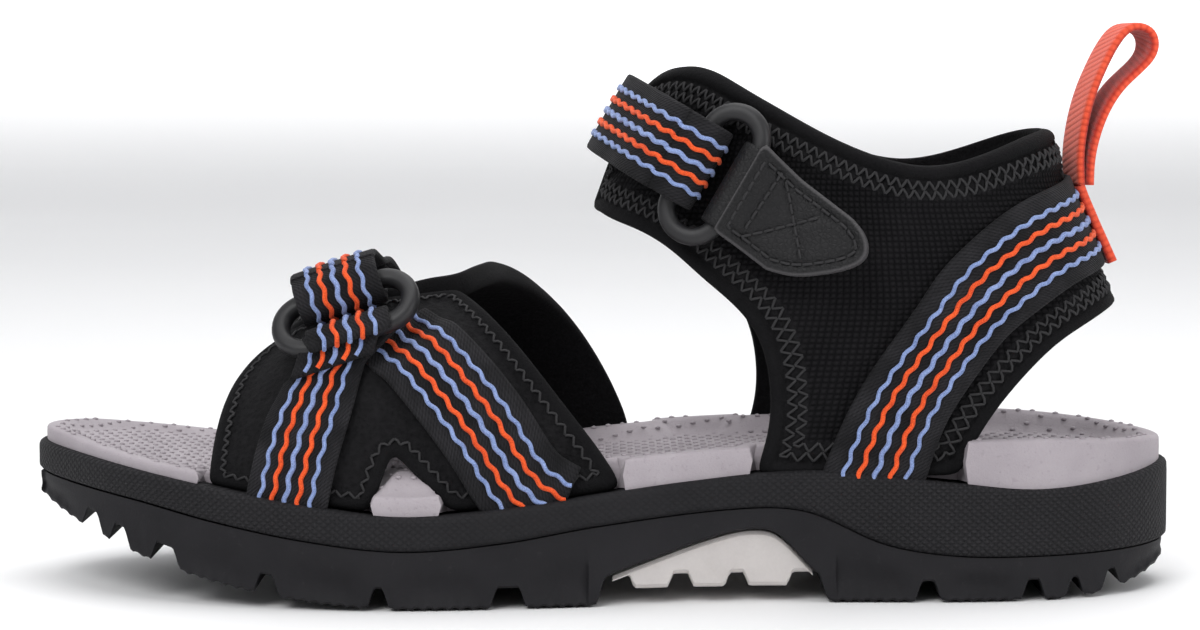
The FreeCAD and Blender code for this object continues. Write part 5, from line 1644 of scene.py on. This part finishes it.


# %% [markdown]
# ## The pull loop
# A red ribbed tape is folded into a standing loop, and its end is sewn flat down the heel. The outer face
# is ribbed, and the inner face is plainer, with a darker red painted on it as shade.

# %% Pull loop
LOOP_LINE = [(83.5, 69.6), (83.3, 74.0), (83.8, 79.4), (85.6, 86.5), (87.6, 91.2), (89.6, 94.8), (92.5, 97.2),
             (95.4, 96.2), (96.0, 93.4), (93.9, 90.2), (90.6, 87.0), (87.8, 82.8), (86.0, 78.0), (85.2, 74.0),
             (85.0, 69.6)]
yaw = math.radians(-9.0)
across_loop = np.array([math.sin(yaw), math.cos(yaw), 0])
loop_xz = smooth_curve(LOOP_LINE, 0.6)
loop_c = np.column_stack([loop_xz[:, 0], np.zeros(len(loop_xz)), loop_xz[:, 1]])
loop_along = np.gradient(loop_c, axis=0)
loop_n = np.cross(loop_along, across_loop)
loop_n /= np.linalg.norm(loop_n, axis=1)[:, None]
if loop_n[4][0] > 0:
    loop_n = -loop_n
loop_side = np.tile(across_loop, (len(loop_c), 1))
pull_loop = fix_normals(ribbon("pull_loop_tape", loop_c, loop_side, loop_n, 5.0, 1.35))
dress(pull_loop, red_webbing)
settle(pull_loop, "pull_loop", "loop", "pull_loop")
tail_z = np.linspace(69.5, 56.2, 24)
tail_c = np.array([ankle_at(np.float64(z), 0.0, 5.0) for z in tail_z])
tail_a = np.gradient(tail_c, axis=0)
tail_n = np.cross(tail_a, np.array([0, 1.0, 0]))
tail_n *= np.sign(tail_n[:, :1])
tail_n /= np.linalg.norm(tail_n, axis=1)[:, None]
tail_side = np.tile([0, 1.0, 0], (len(tail_c), 1))
tail = fix_normals(ribbon("pull_loop_tail_tape", tail_c, tail_side, tail_n, 5.0, 1.7))
dress(tail, red_webbing)
settle(tail, "sandal", "loop", "pull_loop_tail")


# %% [markdown]
# ## Yarns and stitches
# The yarns of all straps are grown in one go for each body and colour. Black thread is sewn along the
# panels' edging in zigzag, round the tab, and across it in an X.

# %% Yarns
YARN_MATERIAL = {"blue": blue_yarn, "orange": orange_yarn}
fold_yarns = {}
for (key, colour, radius), lines in yarn_lines.items():
    source = line_mesh("lines", [p for p, _ in lines], [s for _, s in lines])
    made = grow(f"yarn_{key}_{colour}_{int(radius * 100)}", source, YARN, Amplitude=0.00024, Period=0.0037,
                Radius=radius * MM, Material=YARN_MATERIAL[colour])
    if key.endswith("_fold"):
        fold_yarns.setdefault(key, []).append(made)
    else:
        settle(made, key, "webbing")
print("yarn pieces:", len(yarn_lines))


# %% [markdown]
# ## The folds
# When a free end is peeled up, its fold can't stay on either body. Here the fold and the yarns on it only have
# their placement baked into their meshes, and nothing blends them from one body to the other.

# %% The folds' placement is baked
FOLD_REACH = 0.0038  # metres each side of the bar; the points made from it are not used


def bend_fold(made, bar_at, outward):
    middle = bar_at * MM + SHIFT
    tuple(middle - outward * FOLD_REACH)
    tuple(middle + outward * FOLD_REACH)
    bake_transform(made)


for made in [front_parts[1], *fold_yarns["front_fold"]]:
    bend_fold(made, front_top_bar, front_out)
for made in [ankle_parts[1], *fold_yarns["ankle_fold"]]:
    bend_fold(made, ankle_strap_bar, ankle_out)


# %% [markdown]
# ## The stitches
# Black thread holds the edging in a zigzag. Each stitch is a short arched line that the stitch tree turns into
# thread, so all the stitches of a panel are one light piece. The rows follow the panels' outlines, moved in.

# %% Stitches
def stitches_along(line, pitch, gap=0.45, swing=0.0):
    """Short arched threads along a 2D line: (u, v, lift) triples; swing makes them zigzag."""
    run = length_along(line)
    tangent = np.gradient(line, axis=0)
    tangent /= np.linalg.norm(tangent, axis=1)[:, None] + 1e-9
    across = np.column_stack([-tangent[:, 1], tangent[:, 0]])
    found = []
    count = int(run[-1] / pitch)
    for k in range(count):
        a, b = k * pitch, (k + 1) * pitch - (gap if not swing else 0.12)
        sa, sb = (swing, -swing) if k % 2 else (-swing, swing)
        points = []
        for t, up in ((0, 0.0), (0.5, 0.28), (1, 0.0)):
            r = a + (b - a) * t
            p = np.array([np.interp(r, run, line[:, c]) for c in (0, 1)])
            n = np.array([np.interp(r, run, across[:, c]) for c in (0, 1)])
            points.append([*(p + n * (sa + (sb - sa) * t)), up])
        found.append(np.array(points))
    return found


def sew(name, place, height, runs, slot_name="upper_cloth", radius=0.24):
    lines = []
    for stitch in runs:
        u, v, up = stitch.T
        lines.append(place(u, v, height + up))
    made = grow(name, line_mesh("stitch_lines", lines), STITCH, Radius=radius * MM, Material=thread)
    return settle(made, "sandal", slot_name)


def inner_line(outline, inset):
    """The outline moved inwards; corners where it folds over itself are left out."""
    p = outline + inward_normals(outline) * inset
    keep = distance_to(p, outline) > 0.93 * inset
    return np.vstack([p[keep], p[keep][:1]])


def loose_runs(line, gap=3.0):
    """A line split wherever it jumps."""
    jumps = np.where(np.linalg.norm(np.diff(line, axis=0), axis=1) > gap)[0]
    return [part for part in np.split(line, jumps + 1) if len(part) > 6]


for name, outline, place, insets in (
        ("quarter_outer", rounded(quarter_outline(True)), ankle_place, (3.4, 5.0)),
        ("quarter_inner", rounded(quarter_outline(False)), ankle_place, (3.4, 5.0)),
        ("vamp_outer", rounded(vamp_outline_outer()), arch_place, (2.5,)),
        ("vamp_inner", rounded(vamp_outline_inner(), 30), arch_place, (2.5,))):
    runs = []
    for inset in insets:
        for part in loose_runs(inner_line(outline, inset)):
            runs += stitches_along(part, 1.15, swing=0.7 if "quarter" in name else 0.45)
    sew(name + "_stitches", place, 2.28 if "quarter" in name else 2.2, runs)
tab_runs = []
for part in loose_runs(inner_line(tab_line, 1.9)):
    tab_runs += stitches_along(part, 1.9)
for start, end in TAB_SEAMS:
    tab_runs += stitches_along(evenly(np.array([start, end]), 0.5), 1.9)
sew("tab_stitches", lambda u, v, up: tab_place(u, v, tab_height(u) + up), -0.1, tab_runs, "leather", 0.26)


# %% [markdown]
# ## Room, light and camera
# A pale floor curves up into a backdrop that glows a little, so the room ends in white. A large soft light
# above and two smaller ones at the sides give the even look of a studio.

# %% Stage
def pale_floor():
    def paint(graph):
        clouds = graph.noise(180.0, 2.0)
        height = Term(graph, graph.add("ShaderNodeSeparateXYZ", {}, [graph.place()]).socket.node.outputs[2])
        glow = graph.mix(height.band(0.0, 0.12), (0.0, 0.0, 0.0), (1.0, 1.0, 1.0))
        white = graph.mix(clouds * 0.3, (0.90, 0.90, 0.90), (0.86, 0.86, 0.865))
        return white, 0.6 + clouds * 0.1, None, glow
    floor_mesh = bpy.data.meshes.new("studio_floor")
    profile = [(-2.6, 0.0)] + [(1.5 + 0.6 * math.sin(a), 0.6 - 0.6 * math.cos(a))
                               for a in np.linspace(0, math.pi / 2, 14)] + [(2.1, 3.2)]
    verts = [(x, y, z - 0.00002) for y, z in profile for x in (-3.4, 3.4)]
    faces = [(2 * i, 2 * i + 1, 2 * i + 3, 2 * i + 2) for i in range(len(profile) - 1)]
    floor_mesh.from_pydata(verts, [], faces)
    floor_mesh.polygons.foreach_set("use_smooth", [True] * len(faces))
    floor = bpy.data.objects.new("studio_floor", floor_mesh)
    bpy.context.scene.collection.objects.link(floor)
    return dress(floor, new_material("studio_paper", paint, Emission_Strength=0.7))


pale_floor()


def soft_light(name, place, aim, size, power):
    data = bpy.data.lights.new(name, "AREA")
    data.shape, data.size, data.energy = "DISK", size, power
    light = bpy.data.objects.new(name, data)
    light.location = place
    light.rotation_euler = (Vector(aim) - Vector(place)).to_track_quat("-Z", "Y").to_euler()
    bpy.context.scene.collection.objects.link(light)
    return light


soft_light("key", (-0.35, -0.75, 0.75), (0, 0, 0.05), 0.7, 6.5)
soft_light("top", (0.1, 0.1, 1.0), (0, 0, 0.03), 1.0, 6.0)
soft_light("side", (0.9, -0.55, 0.35), (0, 0, 0.05), 0.6, 3.0)
world = bpy.data.worlds.new("studio_air")
bpy.context.scene.world = world
world.use_nodes = True
world.node_tree.nodes["Background"].inputs["Color"].default_value = (0.95, 0.96, 1.0, 1.0)
world.node_tree.nodes["Background"].inputs["Strength"].default_value = 0.4

camera_data = bpy.data.cameras.new("camera")
camera_data.lens, camera_data.sensor_width = 102.4, 36.0
camera_data.clip_start, camera_data.clip_end = 0.01, 20
camera = bpy.data.objects.new("camera", camera_data)
camera.location = (0, -0.600, 0.0892)
camera.rotation_euler = (Vector((0, 0, 0.0466)) - Vector(camera.location)).to_track_quat("-Z", "Y").to_euler()
bpy.context.scene.collection.objects.link(camera)
bpy.context.scene.camera = camera
bpy.context.scene.view_settings.view_transform = "Standard"
